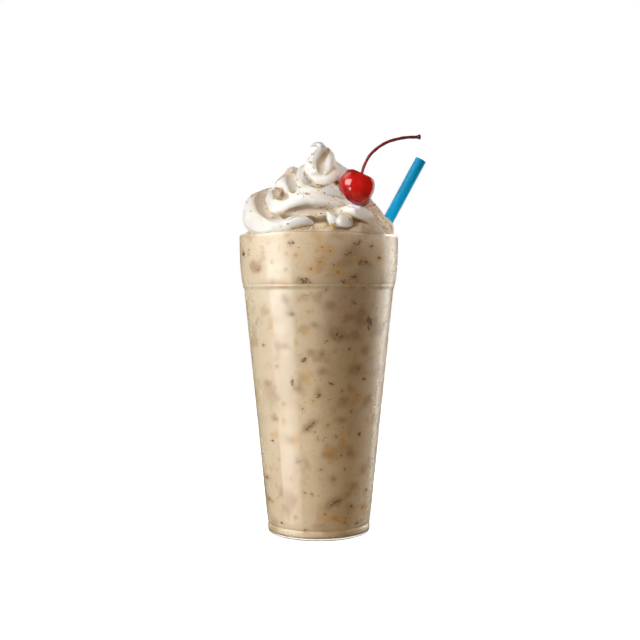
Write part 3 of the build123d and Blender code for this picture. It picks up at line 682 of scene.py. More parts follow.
n = Nodes("cream_soft")
# painted shade: the less open the point, the more tan, standing in for shade in creases and hollows as well as crumb
# dust there
crease_shade_tone = n.ramp(n.attr("open"), [(0.20, (0.62, 0.49, 0.33)), (0.50, (0.81, 0.76, 0.67)), (0.78, (0.885, 0.88, 0.86))])
# the second tint pulls the colour further to tan: crumb dust plus painted shade in the folds and on the right-hand
# flank
crease_shade_tone = n.mix(n.math("MULTIPLY", n.attr("dust_and_shade"), 0.92, True), crease_shade_tone, (0.58, 0.445, 0.275))
mott = n.ramp(n.noise(60.0, 3.0), [(0.35, (0.96, 0.95, 0.93)), (0.65, (1, 1, 1))])
n.link(n.mix(1.0, crease_shade_tone, mott, "MULTIPLY"), n.bsdf.inputs["Base Color"])
n.set(Roughness=0.42, IOR=1.40)
n.bsdf.inputs["Subsurface Weight"].default_value = 0.35
n.bsdf.inputs["Subsurface Radius"].default_value = (1.0, 0.75, 0.5)
n.bsdf.inputs["Subsurface Scale"].default_value = 0.0025
n.bump(n.noise(420.0, 3.0, 0.6), 0.12, 0.0006)
cream.data.materials.append(n.mat)

# ------------------------------------------------------------------ the drink
# Things in the drink that lie against the wall: kind, azimuth from the front towards +X (degrees), height, length, width (mm), tilt (degrees).
# c cluster of chopped pieces, l one piece, z striped piece, r ring, h fibre, s soft dark patch, g orange piece, y yellow patch, p mauve patch
# inclusions begin
INCLUSIONS = [
    ("c", -19.4, 164.9, 2.9, 2.7, 0), ("c", -49.9, 151.8, 6.9, 3.9, 0), ("l", -68.7, 160, 4.7, 3.9, 0),
    ("l", -58.8, 162, 2.2, 1.1, 0), ("l", -59.7, 159.8, 2.2, 1.1, 0), ("c", 26.5, 164.7, 5.4, 3.2, 20),
    ("c", 21.2, 159.6, 3.5, 2.7, 0), ("c", 25.6, 146.7, 4.8, 3.2, 0), ("l", 10.5, 153, 2.2, 1.6, 0),
    ("l", -11.2, 145, 4.9, 2.2, -8), ("l", -6.3, 143.6, 2.2, 1.6, 0), ("l", 17.1, 143.9, 2.8, 1.9, 0),
    ("l", 47.6, 157.3, 3.3, 1.7, 0), ("l", -0.5, 160.5, 1.6, 0.6, 0), ("h", -9.5, 135.8, 3.8, 0.5, 0),
    ("l", 26.5, 133.1, 3, 2.2, 0), ("l", 43.4, 122.6, 3.8, 9.4, 15), ("s", 33.5, 124.3, 5.9, 6.6, 0),
    ("c", 14.3, 115.8, 5.6, 3.8, 0), ("c", 18.4, 114.1, 3.4, 2.7, 0), ("s", 29.7, 114.5, 7.5, 4.9, 0),
    ("c", -20.7, 126.6, 3.5, 2.2, 0), ("h", -15.1, 116.9, 3.8, 0.5, 60), ("s", -5.8, 106, 4.4, 3.3, 0),
    ("r", -12, 101.6, 4.4, 3.3, 20), ("s", 32.5, 95.8, 8.5, 4.9, 0), ("l", 34.4, 96.8, 2.7, 1.6, 0),
    ("l", -22.2, 89.4, 1.8, 3.8, 0), ("s", -49.4, 87.9, 5.1, 2.8, 0), ("s", -17, 85.7, 5.1, 3.3, 0),
    ("l", 0.2, 82.2, 2.7, 2.2, 0), ("l", 10.3, 88.5, 2.8, 1.6, 0), ("h", 10.5, 79.2, 3.9, 0.5, 30),
    ("z", -7.9, 65.1, 7.2, 2.5, 42), ("l", -3.4, 62.1, 1.1, 1.1, 0), ("h", 6.1, 57.6, 4.9, 0.5, 40),
    ("l", 40.3, 59.8, 2.2, 2.8, 0), ("l", -21.2, 46.7, 1.8, 1.3, 0), ("l", -19.2, 45.4, 1.2, 1.1, 0),
    ("l", -22.4, 44.5, 1.2, 1.1, 0), ("s", 14.1, 35.8, 4, 3.3, 0), ("c", -65, 33.1, 6.7, 2.3, 0), ("c", -65.1, 20.5, 6.7, 2.8, 0),
    ("h", -44.8, 22.9, 3.9, 0.6, 70), ("h", -39.9, 17.6, 6.5, 0.6, -40), ("l", -6.9, 27, 1.7, 1.6, 0),
    ("l", -14.1, 27.4, 1.7, 1.4, 0), ("l", 16.9, 22.2, 8.1, 3.3, 28), ("l", 36.1, 19, 3.4, 1.7, 0),
    ("l", -15.2, 6.5, 1.7, 1.7, 0), ("h", -60.7, 132.4, 5.7, 0.6, 0), ("h", -56.8, 121.8, 3.9, 0.6, 50),
    ("l", 5.3, 139.6, 1.6, 1.6, 0), ("l", -23.5, 150.4, 1.5, 1.1, 0), ("l", -34.6, 154.9, 1.3, 1.1, 0),
    ("l", 35, 154.9, 2.7, 1.6, 0), ("l", 39.2, 163.6, 2.8, 1.6, 0), ("l", 34.7, 139.6, 2, 1.6, 0),
    ("s", 18.4, 154.7, 6.8, 4.8, 0), ("s", 23.4, 161.2, 7.1, 4.9, 0), ("s", 14.3, 115.8, 8.4, 6.5, 0),
    ("s", -11.2, 144.5, 6.6, 3.8, 0), ("s", -49.9, 151.8, 8.6, 5, 0), ("s", 16.9, 22.2, 10.9, 5, 28),
    ("s", -7.9, 65.4, 7.7, 4.4, 42), ("s", 8.4, 131, 5.5, 4.3, 0), ("s", 22, 124.4, 5.3, 4.3, 0), ("s", 2.6, 95.1, 4.9, 3.3, 0),
    ("s", 22.3, 78.4, 5.3, 4.4, 0), ("s", 32.3, 48.5, 5.9, 3.9, 0), ("s", 20.1, 68.5, 4.7, 3.3, 0), ("s", 7.7, 49.3, 3.9, 3.3, 0),
    ("s", 38.3, 30.7, 6.4, 3.9, 0), ("s", -28.9, 109.1, 5, 2.7, 0), ("s", -43.5, 68.6, 5.4, 2.8, 0),
    ("s", -27.6, 57.1, 5, 3.3, 0), ("s", -26.1, 134.2, 4.2, 2.7, 0), ("s", 40.7, 106.6, 5.1, 5, 0), ("s", 49, 78.4, 5.1, 4.5, 0),
    ("s", 48.2, 39.1, 5, 4.5, 0), ("s", -2.9, 120.7, 4.3, 2.7, 0), ("c", 29.9, 154.8, 3.8, 2.7, 0),
    ("l", 18.9, 136.4, 2.3, 1.6, 20), ("l", 6.4, 112, 2.2, 1.6, 0), ("l", 2.6, 105, 1.6, 1.3, 0), ("l", 24.9, 107.5, 2.4, 1.6, 0),
    ("l", 41.8, 90.5, 3, 1.7, 0), ("l", 20.1, 84.5, 1.7, 1.6, 0), ("l", 29.7, 72.6, 1.9, 1.3, 0), ("l", -37, 97.8, 2.1, 1.3, 0),
    ("l", -50.8, 109.1, 2.6, 1.3, 0), ("l", -32, 77, 1.9, 1.3, 0), ("l", -48.8, 55.4, 2.5, 1.3, 0),
    ("l", -13.9, 74.7, 1.7, 1.3, 0), ("l", 15.9, 59.2, 1.7, 1.4, 0), ("l", 2.1, 41, 1.6, 1.3, 0), ("l", 26.4, 40.4, 1.8, 1.7, 0),
    ("l", -28.7, 34.7, 1.9, 1.3, 0), ("l", 6.5, 15.7, 1.7, 1.3, 0), ("l", -25, 13.5, 1.8, 1.3, 0), ("l", -44.5, 8.7, 2.4, 1.1, 0),
    ("l", 46.8, 8.5, 3.3, 1.3, 0), ("l", 58.7, 26.8, 3.3, 1.7, 0), ("g", 7.7, 160.5, 2.2, 2.1, 0),
    ("g", -5.4, 150.9, 3.2, 2.7, 0), ("g", 13.5, 149.3, 3.3, 2.7, 0), ("y", -22.4, 159, 2.3, 2.2, 0),
    ("y", -62.4, 126.8, 4.8, 2.2, 0), ("y", -7.4, 127.7, 2.7, 2.7, 0), ("g", -4.6, 79.2, 1.6, 1.6, 0),
    ("g", 16.4, 13, 5.8, 3.9, 0), ("g", 53.6, 17, 5.7, 2.8, 0), ("g", 30.7, 10.3, 3.9, 2.2, 0), ("y", -14.8, 134.2, 2.2, 1.6, 0),
    ("y", -41.9, 118.7, 3, 1.7, 0), ("g", 0.8, 154.6, 2.7, 2.1, 0), ("g", -15.8, 158.4, 2.2, 1.6, 0),
    ("y", -0.7, 57.7, 2.2, 2.2, 0), ("g", 22.5, 141.2, 2.9, 2.2, 0), ("g", 2.2, 162.6, 2.7, 2.1, 0),
    ("g", 35.1, 81.8, 2.7, 2.2, 0), ("y", -40.8, 45.2, 2.9, 1.7, 0), ("g", 8.2, 65.9, 2.2, 1.6, 0),
    ("g", 21.5, 48.4, 2.4, 2.2, 0), ("p", -36.1, 166.3, 5.4, 2.7, 0), ("p", -35.2, 140.2, 5.3, 2.7, 0),
    ("p", -30.2, 125.5, 5, 2.7, 0), ("p", -59.6, 66.5, 8.9, 3.4, 0),
]
CRUMBS = [
    (-39.1, -3.4, 193.1, 0.46), (-38.7, -0.4, 194.3, 0.55), (-37.3, -0.6, 194.8, 0.46), (-35.9, -8.8, 192, 0.42),
    (-41.2, -6.6, 189.9, 0.5), (-33, 11, 198.6, 0.38), (-31.2, 11.2, 198.9, 0.38), (-28.4, 14.4, 199.8, 0.42),
    (-23.7, -14.2, 200.6, 0.46), (-24.2, -14, 199.7, 0.42), (-22.8, -14, 201.8, 0.46), (-21.5, -12.6, 203.1, 0.5),
    (-20.4, -11.4, 204, 0.42), (-16.5, -8.8, 206.5, 0.42), (-15.3, -9.2, 206.3, 0.63), (-14.2, -8.4, 206.6, 0.46),
    (-8.1, -14, 206.5, 0.46), (-8, -15.4, 205.2, 0.5), (-8.1, -17.4, 203.9, 0.42), (-3.9, -10.4, 216.8, 0.46),
    (-3.1, -11.6, 216.5, 0.38), (-5.6, -11.6, 213.9, 0.38), (-5.3, -12.8, 212.4, 0.46), (-4.5, -13.4, 211.8, 0.5),
    (-4.1, -13.6, 211.5, 0.38), (-3, -15.2, 208.7, 0.42), (-2.7, -15.6, 208, 0.46), (-24.3, -13.6, 197, 0.5),
    (-23.1, -14.6, 196.6, 0.63), (-21.9, -15.6, 197, 0.46), (-22.4, -31, 189.4, 0.67), (-21.6, -32, 189.1, 0.59),
    (-20.7, -32.4, 189.8, 0.5), (-11.9, -20.4, 201, 0.42), (-11.7, -20, 201.6, 0.38), (-7, -37.6, 191.8, 0.5),
    (-6.4, -38, 191.3, 0.38), (-5.3, -38, 191.5, 0.42), (-8.3, -38.4, 190.3, 0.42), (-11.3, -36.6, 191.6, 0.42),
    (-13.5, -37.6, 188.2, 0.34), (-37.4, -24.6, 183.3, 0.42), (-1, -33.2, 196.9, 0.46), (-0.2, -32.8, 197.1, 0.5),
    (0.7, -32.8, 196.9, 0.46), (1.8, -32.6, 196.9, 0.42), (1.5, -33.8, 196, 0.42), (3.5, -19.4, 198.6, 0.42),
    (4.6, -19.4, 198.7, 0.46), (5.7, -19, 198.6, 0.42), (6.7, -31.4, 195.8, 0.5), (7.8, -31, 195.4, 0.46),
    (3.1, -34.4, 192.3, 0.59), (7.8, -34.8, 190.4, 0.55), (8.3, -35.2, 189.8, 0.42), (12.3, -28.6, 192.9, 0.42),
    (12.8, -28, 192.2, 0.46), (12, -28.4, 190.2, 0.38), (8.6, -18, 198.2, 0.42), (0.7, -35, 183.8, 0.55),
    (1.7, -35.2, 184.1, 0.59), (-0.4, -35.4, 184.3, 0.42), (3.4, -36.2, 184.8, 0.42), (4.5, -34.8, 183.3, 0.5),
    (7.2, -34.8, 183.9, 0.46), (8.3, -34.4, 182.8, 0.55), (12.6, -37.4, 182.5, 0.5), (11, -34.6, 185, 0.42),
    (-5.8, -41.4, 172.4, 0.55), (-5.3, -41, 172.8, 0.46), (-3.1, -40.4, 173.1, 0.5), (-2.6, -41.8, 172.2, 0.46),
    (-0.4, -40.6, 173.1, 0.42), (2.8, -40.4, 173.1, 0.46), (3.4, -39.6, 173.4, 0.38), (7.7, -40.8, 172.6, 0.5),
    (8.2, -42.8, 174.6, 0.71), (7.1, -42.8, 175.1, 0.55), (8.7, -43.2, 175.4, 0.5), (7.6, -42, 173.9, 0.5),
    (3.1, -44.4, 169.9, 0.42), (5.7, -44.2, 169.8, 0.46), (13, -41.8, 170.6, 0.42), (-16.6, -41.2, 175.2, 0.5),
    (16.2, -43.4, 178.8, 0.42), (16.8, -43.6, 178, 0.5), (22.9, -38.4, 184.9, 0.46), (25.1, -13.6, 187, 0.42),
    (16.4, -38.8, 185, 0.42), (18.5, -40, 184.5, 0.42), (30.3, -11, 189, 0.46), (31.4, -12, 187.5, 0.55),
    (32.5, -12.6, 186.3, 0.46), (33.6, -13.2, 185.1, 0.42), (34.1, -14.4, 183.9, 0.55), (35.8, -22.6, 174.8, 0.42),
    (37, -22, 174.3, 0.59), (37.6, -21.6, 173.2, 0.46), (41.4, 1.8, 177.3, 0.5), (41.7, 1.8, 176.4, 0.46),
    (34.7, -22, 177.7, 0.55), (-25.5, -36, 178.8, 0.46), (-26.1, -35.6, 179.4, 0.34), (13.8, -33.4, 185.6, 0.42),
    (9.4, -35.6, 188.7, 0.38), (5.5, -37.4, 186.9, 0.38), (-3.7, -38.8, 189.5, 0.34), (-0.4, -35.2, 193.6, 0.38),
    (-1.6, -16.8, 205.6, 0.34), (0.1, -12.6, 211.8, 0.29), (1.8, -16.8, 207.3, 0.34), (4.1, -17.2, 206.7, 0.42),
    (-6.1, -14.4, 207.6, 0.38), (-7.2, -19.2, 202, 0.34), (-10.3, -34.4, 195.4, 0.34), (-17.5, -11.4, 204.6, 0.38),
    (-16.8, -16.8, 201.1, 0.34), (-13.3, -20.2, 199.1, 0.46), (-12.7, -22.4, 197.7, 0.5), (-13.4, -17.6, 201, 0.38),
    (-14.1, -34.6, 193.1, 0.38), (-33.8, -5.2, 193.2, 0.38), (-31.6, -23.4, 185.9, 0.42), (-30.3, -26.8, 184.5, 0.46),
    (-32.7, -15.6, 188.8, 0.34), (-30.6, 11.2, 198.9, 0.38), (-19.1, -32.8, 180.7, 0.38), (-12.5, -34.2, 182.3, 0.34),
    (-4.3, -35.2, 182.2, 0.38), (-1.5, -34.6, 181.1, 0.42), (1.2, -34.4, 181.7, 0.5), (2.8, -33.4, 180.1, 0.46),
    (-0.4, -31.6, 178.6, 0.46), (-3.2, -28, 177.8, 0.5), (-2.1, -28.6, 176.1, 0.42), (0.7, -28.8, 176.1, 0.46),
    (5, -36, 175, 0.42), (1.8, -28.4, 177.8, 0.38), (-6.9, -39.2, 174, 0.46), (-10.2, -39.8, 172.9, 0.42),
    (-13.4, -40, 172.1, 0.38), (-15.6, -39.4, 171.8, 0.38), (-11.8, -41.2, 171.4, 0.42), (-8.5, -41.6, 171.7, 0.38),
    (10.4, -40.8, 172, 0.42), (15.3, -39.6, 171.8, 0.38), (26.8, -13.6, 187, 0.42), (27.3, -37.4, 182.5, 0.38),
    (30.3, -22, 182.7, 0.46), (31.9, -22.4, 181, 0.5), (33, -22.6, 179.3, 0.46), (36.2, -17, 179.7, 0.38),
    (37.2, -18.2, 177.4, 0.46), (29.6, -13.6, 186.8, 0.5), (28, -12, 188.9, 0.42), (38.2, -20.6, 173.8, 0.42),
    (12.9, 0.6, 212.1, 0.34), (15.2, 0.2, 210.3, 0.38), (17, 1.4, 209.6, 0.34), (11.1, -1.8, 212.1, 0.34),
]
# inclusions end


def wall_radius(z, inset):
    line = np.array(side_line(inset))
    return np.interp(z, line[4:, 1], line[4:, 0])


def wall_points(az, z, u, v, w):
    """Points at u along the wall, v up and w outwards from the inner wall at azimuth az and height z."""
    zz = z + v
    r = wall_radius(zz, WALL)
    t = math.radians(az) + u / np.maximum(r, 1)
    return np.stack([(r + w) * np.sin(t), -(r + w) * np.cos(t), zz], -1)


into = 0.12                      # how far the drink reaches into the wall
shake_side = [(r + into, z) for r, z in rounded(side_line(WALL), 0.4)]
shake_side = [p for i, p in enumerate(shake_side) if 1.9 < p[1] < 169.8 and (p[1] < 9 or 138 < p[1] < 148 or i % 2 == 0)]
shake_floor = rounded([(0.0, FLOOR_Z - 0.1), (FOOT_D / 2 - 4.5, FLOOR_Z - 0.1), (FOOT_D / 2 - 2.6, 1.75), (FOOT_D / 2 - 1.1, 1.45), (FOOT_D / 2 - 0.62, 1.5)], 0.9)
rise = np.linspace(0, 1, 46)[1:]
r_top = shake_side[-1][0]
dome_r = r_top * (1 - rise)
dome_z = np.interp(dome_r, [0, MOUND_R / 2, MOUND_R, 41.5, 43.8, r_top], [MOUND_TOP, MOUND_TOP - 1.1, MOUND_Z, 172.9, 171.2, shake_side[-1][1]])
prof = np.vstack([shake_floor, shake_side, np.stack([dome_r, dome_z], -1)])
v, f = lathe(prof, 300)
up = smooth((v[:, 2] - 171.0) / 3.0)
v[:, 2] += up * (0.9 * fbm(v, 9.0, 21, 3) + 0.4 * fbm(v, 3.0, 5, 2))
az_v = np.degrees(np.arctan2(v[:, 0], -v[:, 1]))
dark_blur_and_shade = 0.75 * smooth((fbm(v, 8.5, 77, 3) - 0.10) / 0.42)
soft_gold = 0.9 * smooth((fbm(v, 6.5, 131, 2) - 0.30) / 0.3)
soft_mauve = 0.6 * smooth((fbm(v, 8.0, 211, 2) - 0.42) / 0.3)
edge_noise = fbm(v, 2.6, 55, 3)


def patch(target, az, z, length, width, tilt, strength, spread=1.0):
    """Adds a soft patch of the given size to a value kept at each point of the drink."""
    r = wall_radius(z, WALL)
    du = np.radians((az_v - az + 180) % 360 - 180) * r
    dz = v[:, 2] - z
    t = math.radians(tilt)
    p, q = du * math.cos(t) + dz * math.sin(t), -du * math.sin(t) + dz * math.cos(t)
    d = np.sqrt((p / (0.5 * length * spread)) ** 2 + (q / (0.5 * width * spread)) ** 2) + 0.55 * edge_noise
    near = (np.hypot(v[:, 0], v[:, 1]) > 20) & (v[:, 2] > 2.2)
    target += np.where(near, strength * np.exp(-np.clip(d, 0, 4) ** 2 * 0.9), 0)


more = random.Random(7)
ALL = list(INCLUSIONS)
# the sides and back carry the same mix, placed at random
for _ in range(165):
    az = more.uniform(76, 284)
    z = more.uniform(4, 168)
    kind = more.choices("clhsgyp", [20, 34, 9, 22, 12, 7, 4])[0]
    size = more.uniform(1.3, 3.2) if kind in "lgy" else more.uniform(2.8, 7.5)
    ALL.append((kind, az, z, size, size * more.uniform(0.4, 0.9), more.uniform(-90, 90)))
for kind, az, z, length, width, tilt in ALL:
    if kind == "s":
        patch(dark_blur_and_shade, az, z, length, width, tilt, 1.15, 1.2)
    elif kind in "czr":
        patch(dark_blur_and_shade, az, z, length, width, tilt, 0.85, 1.35)
    elif kind == "l":
        patch(dark_blur_and_shade, az, z, length, width, tilt, 0.50, 1.6)
    elif kind == "g":
        patch(soft_gold, az, z, length, width, tilt, 1.2, 2.0)
    elif kind == "y":
        patch(soft_gold, az, z, length, width, tilt, 0.8, 1.5)
    elif kind == "p":
        patch(soft_mauve, az, z, length, width, tilt, 0.9, 1.3)
# painted shade: a browner band down the right-front side of the drink, where the side turns away from the key lamp,
# fading out towards the bottom
right_side_shade = np.exp(-((az_v - 27 - 6 * np.sin(v[:, 2] / 23)) / 27) ** 2) * smooth((v[:, 2] - 38) / 50) * smooth((172 - v[:, 2]) / 10)
dark_blur_and_shade += 0.42 * right_side_shade * (0.85 + 0.5 * fbm(v, 13.0, 17, 2))
soft_gold += 0.45 * np.exp(-((az_v - 8) / 34) ** 2) * smooth((v[:, 2] - 140) / 8) * (0.8 + 0.8 * fbm(v, 10.0, 29, 2))
# painted shade: the lowest ring of the drink is darkened, standing in for the dark line where the drink meets the foot
dark_blur_and_shade += 1.1 * ((v[:, 2] < 2.3) & (np.hypot(v[:, 0], v[:, 1]) > 25))
dark_blur_and_shade, soft_gold, soft_mauve = (np.clip(a, 0, 1.2) for a in (dark_blur_and_shade, soft_gold, soft_mauve))
shake = mesh_object("shake_body", v, f, ["milkshake"], attrs={"dark": dark_blur_and_shade, "gold": soft_gold, "mauve": soft_mauve})

n = Nodes("shake_cream_brown")
base = n.ramp(n.noise(30.0, 4.0, 0.55), [(0.3, (0.74, 0.630, 0.450)), (0.7, (0.81, 0.71, 0.53))])
# the dark attribute carries the blurred dark pieces and also painted shade: the right-front band and the bottom ring
c1 = n.mix(n.math("MULTIPLY", n.attr("dark"), 0.62, True), base, (0.42, 0.275, 0.15))
c2 = n.mix(n.math("MULTIPLY", n.attr("gold"), 0.50, True), c1, (0.68, 0.42, 0.14))
c3 = n.mix(n.math("MULTIPLY", n.attr("mauve"), 0.32, True), c2, (0.58, 0.43, 0.38))
fine = n.ramp(n.noise(620.0, 4.0, 0.6), [(0.30, (0.80, 0.74, 0.66)), (0.42, (1, 1, 1))])
n.link(n.mix(0.6, c3, n.mix(1.0, c3, fine, "MULTIPLY")), n.bsdf.inputs["Base Color"])
n.set(Roughness=0.45, IOR=1.40)
n.bsdf.inputs["Subsurface Weight"].default_value = 0.25
n.bsdf.inputs["Subsurface Radius"].default_value = (1.0, 0.6, 0.35)
n.bsdf.inputs["Subsurface Scale"].default_value = 0.003
shake.data.materials.append(n.mat)


# ------------------------------------------------------------------ pieces in the drink
class Heap:
    """Many small closed shapes gathered in one mesh."""

    def __init__(self):
        self.v, self.f, self.tint, self.rim, self.n = [], [], [], [], 0

    def put(self, verts, faces, tint, rim):
        self.v.append(verts)
        self.f += [tuple(i + self.n for i in q) for q in faces]
        self.tint.append(np.full(len(verts), tint) if np.isscalar(tint) else tint)
        self.rim.append(rim)
        self.n += len(verts)

    def build(self, name, slot, material, replaces=()):
        ob = mesh_object(name, np.vstack(self.v), self.f, replaces, attrs={"tint": np.concatenate(self.tint), "rim": np.concatenate(self.rim)})
        ob.data.materials.append(material)
        return ob


def pebble(na=14, nb=7):
    """Points of a unit ball as (cos, sin, height) rings with poles, and its faces."""
    ring = []
    for j in range(1, nb):
        th = math.pi * j / nb
        for i in range(na):
            ph = 2 * math.pi * i / na
            ring.append((math.cos(ph) * math.sin(th), math.sin(ph) * math.sin(th), math.cos(th)))
    p = np.array(ring + [(0, 0, 1), (0, 0, -1)])
    faces = [(j * na + i, j * na + (i + 1) % na, (j + 1) * na + (i + 1) % na, (j + 1) * na + i) for j in range(nb - 2) for i in range(na)]
    top, low = len(p) - 2, len(p) - 1
    faces = [q[::-1] for q in faces]
    for i in range(na):
        faces.append((top, i, (i + 1) % na))
        faces.append((low, (nb - 2) * na + (i + 1) % na, (nb - 2) * na + i))
    return p, faces


BALL, BALL_F = pebble()
SMALL, SMALL_F = pebble(7, 4)
MIDDLE, MIDDLE_F = pebble(11, 5)


def wall_piece(heap, az, z, length, width, tilt, tint, thick=0.30, rough=0.45, ball=None, lift=0.02):
    """A chopped piece pressed flat against the inside of the wall, with an uneven outline."""
    p, fc = ball or (BALL, BALL_F)
    k = more.uniform(0, 99)
    ph = np.arctan2(p[:, 1], p[:, 0])
    out = 1 + rough * (0.5 * np.cos(2 * ph + k) + 0.45 * np.cos(3 * ph + 2.3 * k) + 0.35 * np.cos(5 * ph + 3.1 * k) + 0.25 * np.cos(7 * ph + 0.7 * k)) * 0.6
    a, b = p[:, 0] * out * 0.5 * length, p[:, 1] * out * 0.5 * width
    t = math.radians(tilt)
    u, w = a * math.cos(t) - b * math.sin(t), a * math.sin(t) + b * math.cos(t)
    h = p[:, 2] * thick * (1 + 0.3 * np.cos(4 * ph + k)) + lift
    heap.put(wall_points(az, z, u, w, np.clip(h, -0.5, 0.42)), fc, tint, 1 - np.abs(p[:, 2]))


def wall_fibre(heap, az, z, length, bend, tilt, tint, thick=0.11):
    """A short curved fibre lying against the wall."""
    m, s = 12, 6
    q = np.linspace(-0.5, 0.5, m)
    a, b = q * length, bend * (0.25 - q ** 2) * length + 0.08 * length * np.sin(q * 9 + z)
    da, db = np.gradient(a), np.gradient(b)
    ln = np.hypot(da, db)
    na, nb = -db / ln, da / ln
    ph = 2 * np.pi * np.arange(s) / s
    r = thick * np.sqrt(np.clip(1 - (2 * q) ** 2, 0.03, 1)) * (1 + 0.4 * np.sin(q * 15 + az))
    aa = a[:, None] + na[:, None] * r[:, None] * np.cos(ph)
    bb = b[:, None] + nb[:, None] * r[:, None] * np.cos(ph)
    hh = 0.16 + r[:, None] * np.sin(ph)
    t = math.radians(tilt)
    u, w = aa * math.cos(t) - bb * math.sin(t), aa * math.sin(t) + bb * math.cos(t)
    verts = wall_points(az, z, u.ravel(), w.ravel(), hh.ravel())
    fc = grid_faces(m, s, close_v=True)
    verts = np.vstack([verts, verts[:s].mean(0)[None], verts[-s:].mean(0)[None]])
    e0, e1, last = len(verts) - 2, len(verts) - 1, (m - 1) * s
    for i in range(s):
        fc.append((e0, (i + 1) % s, i))
        fc.append((e1, last + i, last + (i + 1) % s))
    heap.put(verts, [x[::-1] for x in fc], tint, np.zeros(len(verts)))


dark_bits, gold_bits, specks = Heap(), Heap(), Heap()
for kind, az, z, length, width, tilt in ALL:
    if kind == "c":
        # a crumbled cluster: a loose core of fragments, fine dust and a hair or two round it
        lean = math.radians(tilt)
        for _ in range(more.randint(9, 14)):
            p, q = more.gauss(0, 0.25) * length, more.gauss(0, 0.20) * width
            u, w = p * math.cos(lean) - q * math.sin(lean), p * math.sin(lean) + q * math.cos(lean)
            size = more.choices([0.16, 0.26, 0.40], [5, 4, 2])[0] * min(length, 4.5) * more.uniform(0.8, 1.3)
            wall_piece(dark_bits, az + math.degrees(u / 40), z + w, size, size * more.uniform(0.35, 0.9), more.uniform(-90, 90), more.choice([0.0, 0.15, 0.3, 0.6, 0.9]), 0.26,
                       0.95, ball=(MIDDLE, MIDDLE_F))
        for _ in range(9):
            u, w = more.gauss(0, 0.5) * length, more.gauss(0, 0.5) * width
            size = more.uniform(0.3, 0.7)
            wall_piece(specks, az + math.degrees(u / 40), z + w, size, size * 0.6, more.uniform(-90, 90), more.uniform(0, 0.7), 0.2, ball=(SMALL, SMALL_F), lift=0.08)
        for _ in range(2):
            wall_fibre(specks, az + more.gauss(0, 0.4) * length, z + more.gauss(0, 0.4) * width, more.uniform(1.0, 2.6), more.uniform(-1.5, 1.5), more.uniform(-90, 90), more.uniform(0.2, 0.8), 0.07)
    elif kind == "l":
        # one chopped piece, broken-edged, with chips along its side
        lean, big, slim = math.radians(tilt if length > width else tilt + 90), max(length, width), min(length, width)
        if big < 2.4:
            wall_piece(dark_bits, az, z, 0.6 * length, 0.55 * width, tilt, more.uniform(0.0, 0.6), 0.25, 0.95)
            for _ in range(6):
                size = more.uniform(0.22, 0.5)
                wall_piece(specks, az + math.degrees(more.gauss(0, 0.85) / 40), z + more.gauss(0, 0.85), size, size * 0.6, more.uniform(-90, 90), more.uniform(0, 0.9), 0.18,
                           ball=(SMALL, SMALL_F), lift=0.08)
            for _ in range(2):
                wall_fibre(specks, az + more.gauss(0, 1.2), z + more.gauss(0, 0.9), more.uniform(1.2, 3.2), more.uniform(-1.4, 1.4), more.uniform(-90, 90), more.uniform(0.2, 0.9), 0.06)
            continue
        wall_piece(dark_bits, az, z, 0.92 * length, 0.85 * width, tilt, more.uniform(0.05, 0.5), 0.28, 0.85)
        for _ in range(2 if big < 2.2 else 4):
            s, q = more.uniform(-0.42, 0.42) * big, more.gauss(0, 0.35) * slim
            wall_piece(dark_bits, az + math.degrees((s * math.cos(lean) - q * math.sin(lean)) / 40), z + s * math.sin(lean) + q * math.cos(lean), more.uniform(0.25, 0.5) * big,
                       more.uniform(0.35, 0.7) * slim, math.degrees(lean) + more.uniform(-40, 40), more.choice([0.0, 0.2, 0.5, 0.9]), 0.33, 0.9, ball=(MIDDLE, MIDDLE_F))
    elif kind == "z":
        t = math.radians(tilt)
        for s in np.linspace(-0.42, 0.42, 7):
            s += more.uniform(-0.035, 0.035)
            wall_piece(dark_bits, az + math.degrees(s * length * math.cos(t) / 38), z + s * length * math.sin(t), more.uniform(0.11, 0.19) * length,
                       width * (1 - 0.9 * s * s) * more.uniform(0.65, 1.1), tilt + 12 + more.uniform(-16, 16), more.uniform(0.0, 0.6), 0.28, 0.8)
    elif kind == "r":
        wall_piece(dark_bits, az, z, length, 0.62 * width, tilt + 25, 0.0, 0.28, 0.2)
        wall_piece(dark_bits, az, z, 0.42 * length, 0.25 * width, tilt + 25, 1.6, 0.36, 0.2)
    elif kind == "h":
        wall_fibre(dark_bits, az, z, length, more.uniform(0.5, 1.6), tilt, more.uniform(0.1, 0.6))
    elif kind == "g":
        wall_piece(gold_bits, az, z, 0.8 * length, 0.8 * width, tilt, more.uniform(0.0, 0.6), 0.22, 0.5, lift=0.0)
    elif kind == "y":
        wall_piece(gold_bits, az, z, 0.6 * length, 0.6 * width, tilt, more.uniform(0.6, 1.0), 0.2, 0.5, lift=0.0)
for _ in range(620):
    size = more.choices([0.35, 0.55, 0.85], [6, 4, 1.5])[0] * more.uniform(0.7, 1.3)
    wall_piece(specks, more.uniform(-180, 180), 3 + 166 * more.random() ** 0.9, size, size * more.uniform(0.5, 1), more.uniform(-90, 90), more.uniform(0, 1), 0.17,
               ball=(SMALL, SMALL_F), lift=0.08)
for _ in range(210):
    wall_fibre(specks, more.uniform(-180, 180), more.uniform(5, 168), more.uniform(1.2, 4.6), more.uniform(-1.5, 1.5), more.uniform(-90, 90), more.uniform(0.3, 1.0), 0.065)


def bits_material(name, stops, soft=0.75, body=(0.78, 0.65, 0.46)):
    n = Nodes(name)
    col = n.ramp(n.attr("tint"), stops)
    mot = n.ramp(n.noise(900.0, 3.0, 0.6), [(0.3, (0.62, 0.58, 0.52)), (0.7, (1.15, 1.1, 1.0))])
    inner = n.mix(1.0, col, mot, "MULTIPLY")
    rim = n.ramp(n.attr("rim"), [(0.15, (0, 0, 0)), (0.95, (1, 1, 1))])
    n.link(n.mix(n.math("MULTIPLY", rim, soft), inner, body), n.bsdf.inputs["Base Color"])
    n.set(Roughness=0.4)
    return n.mat


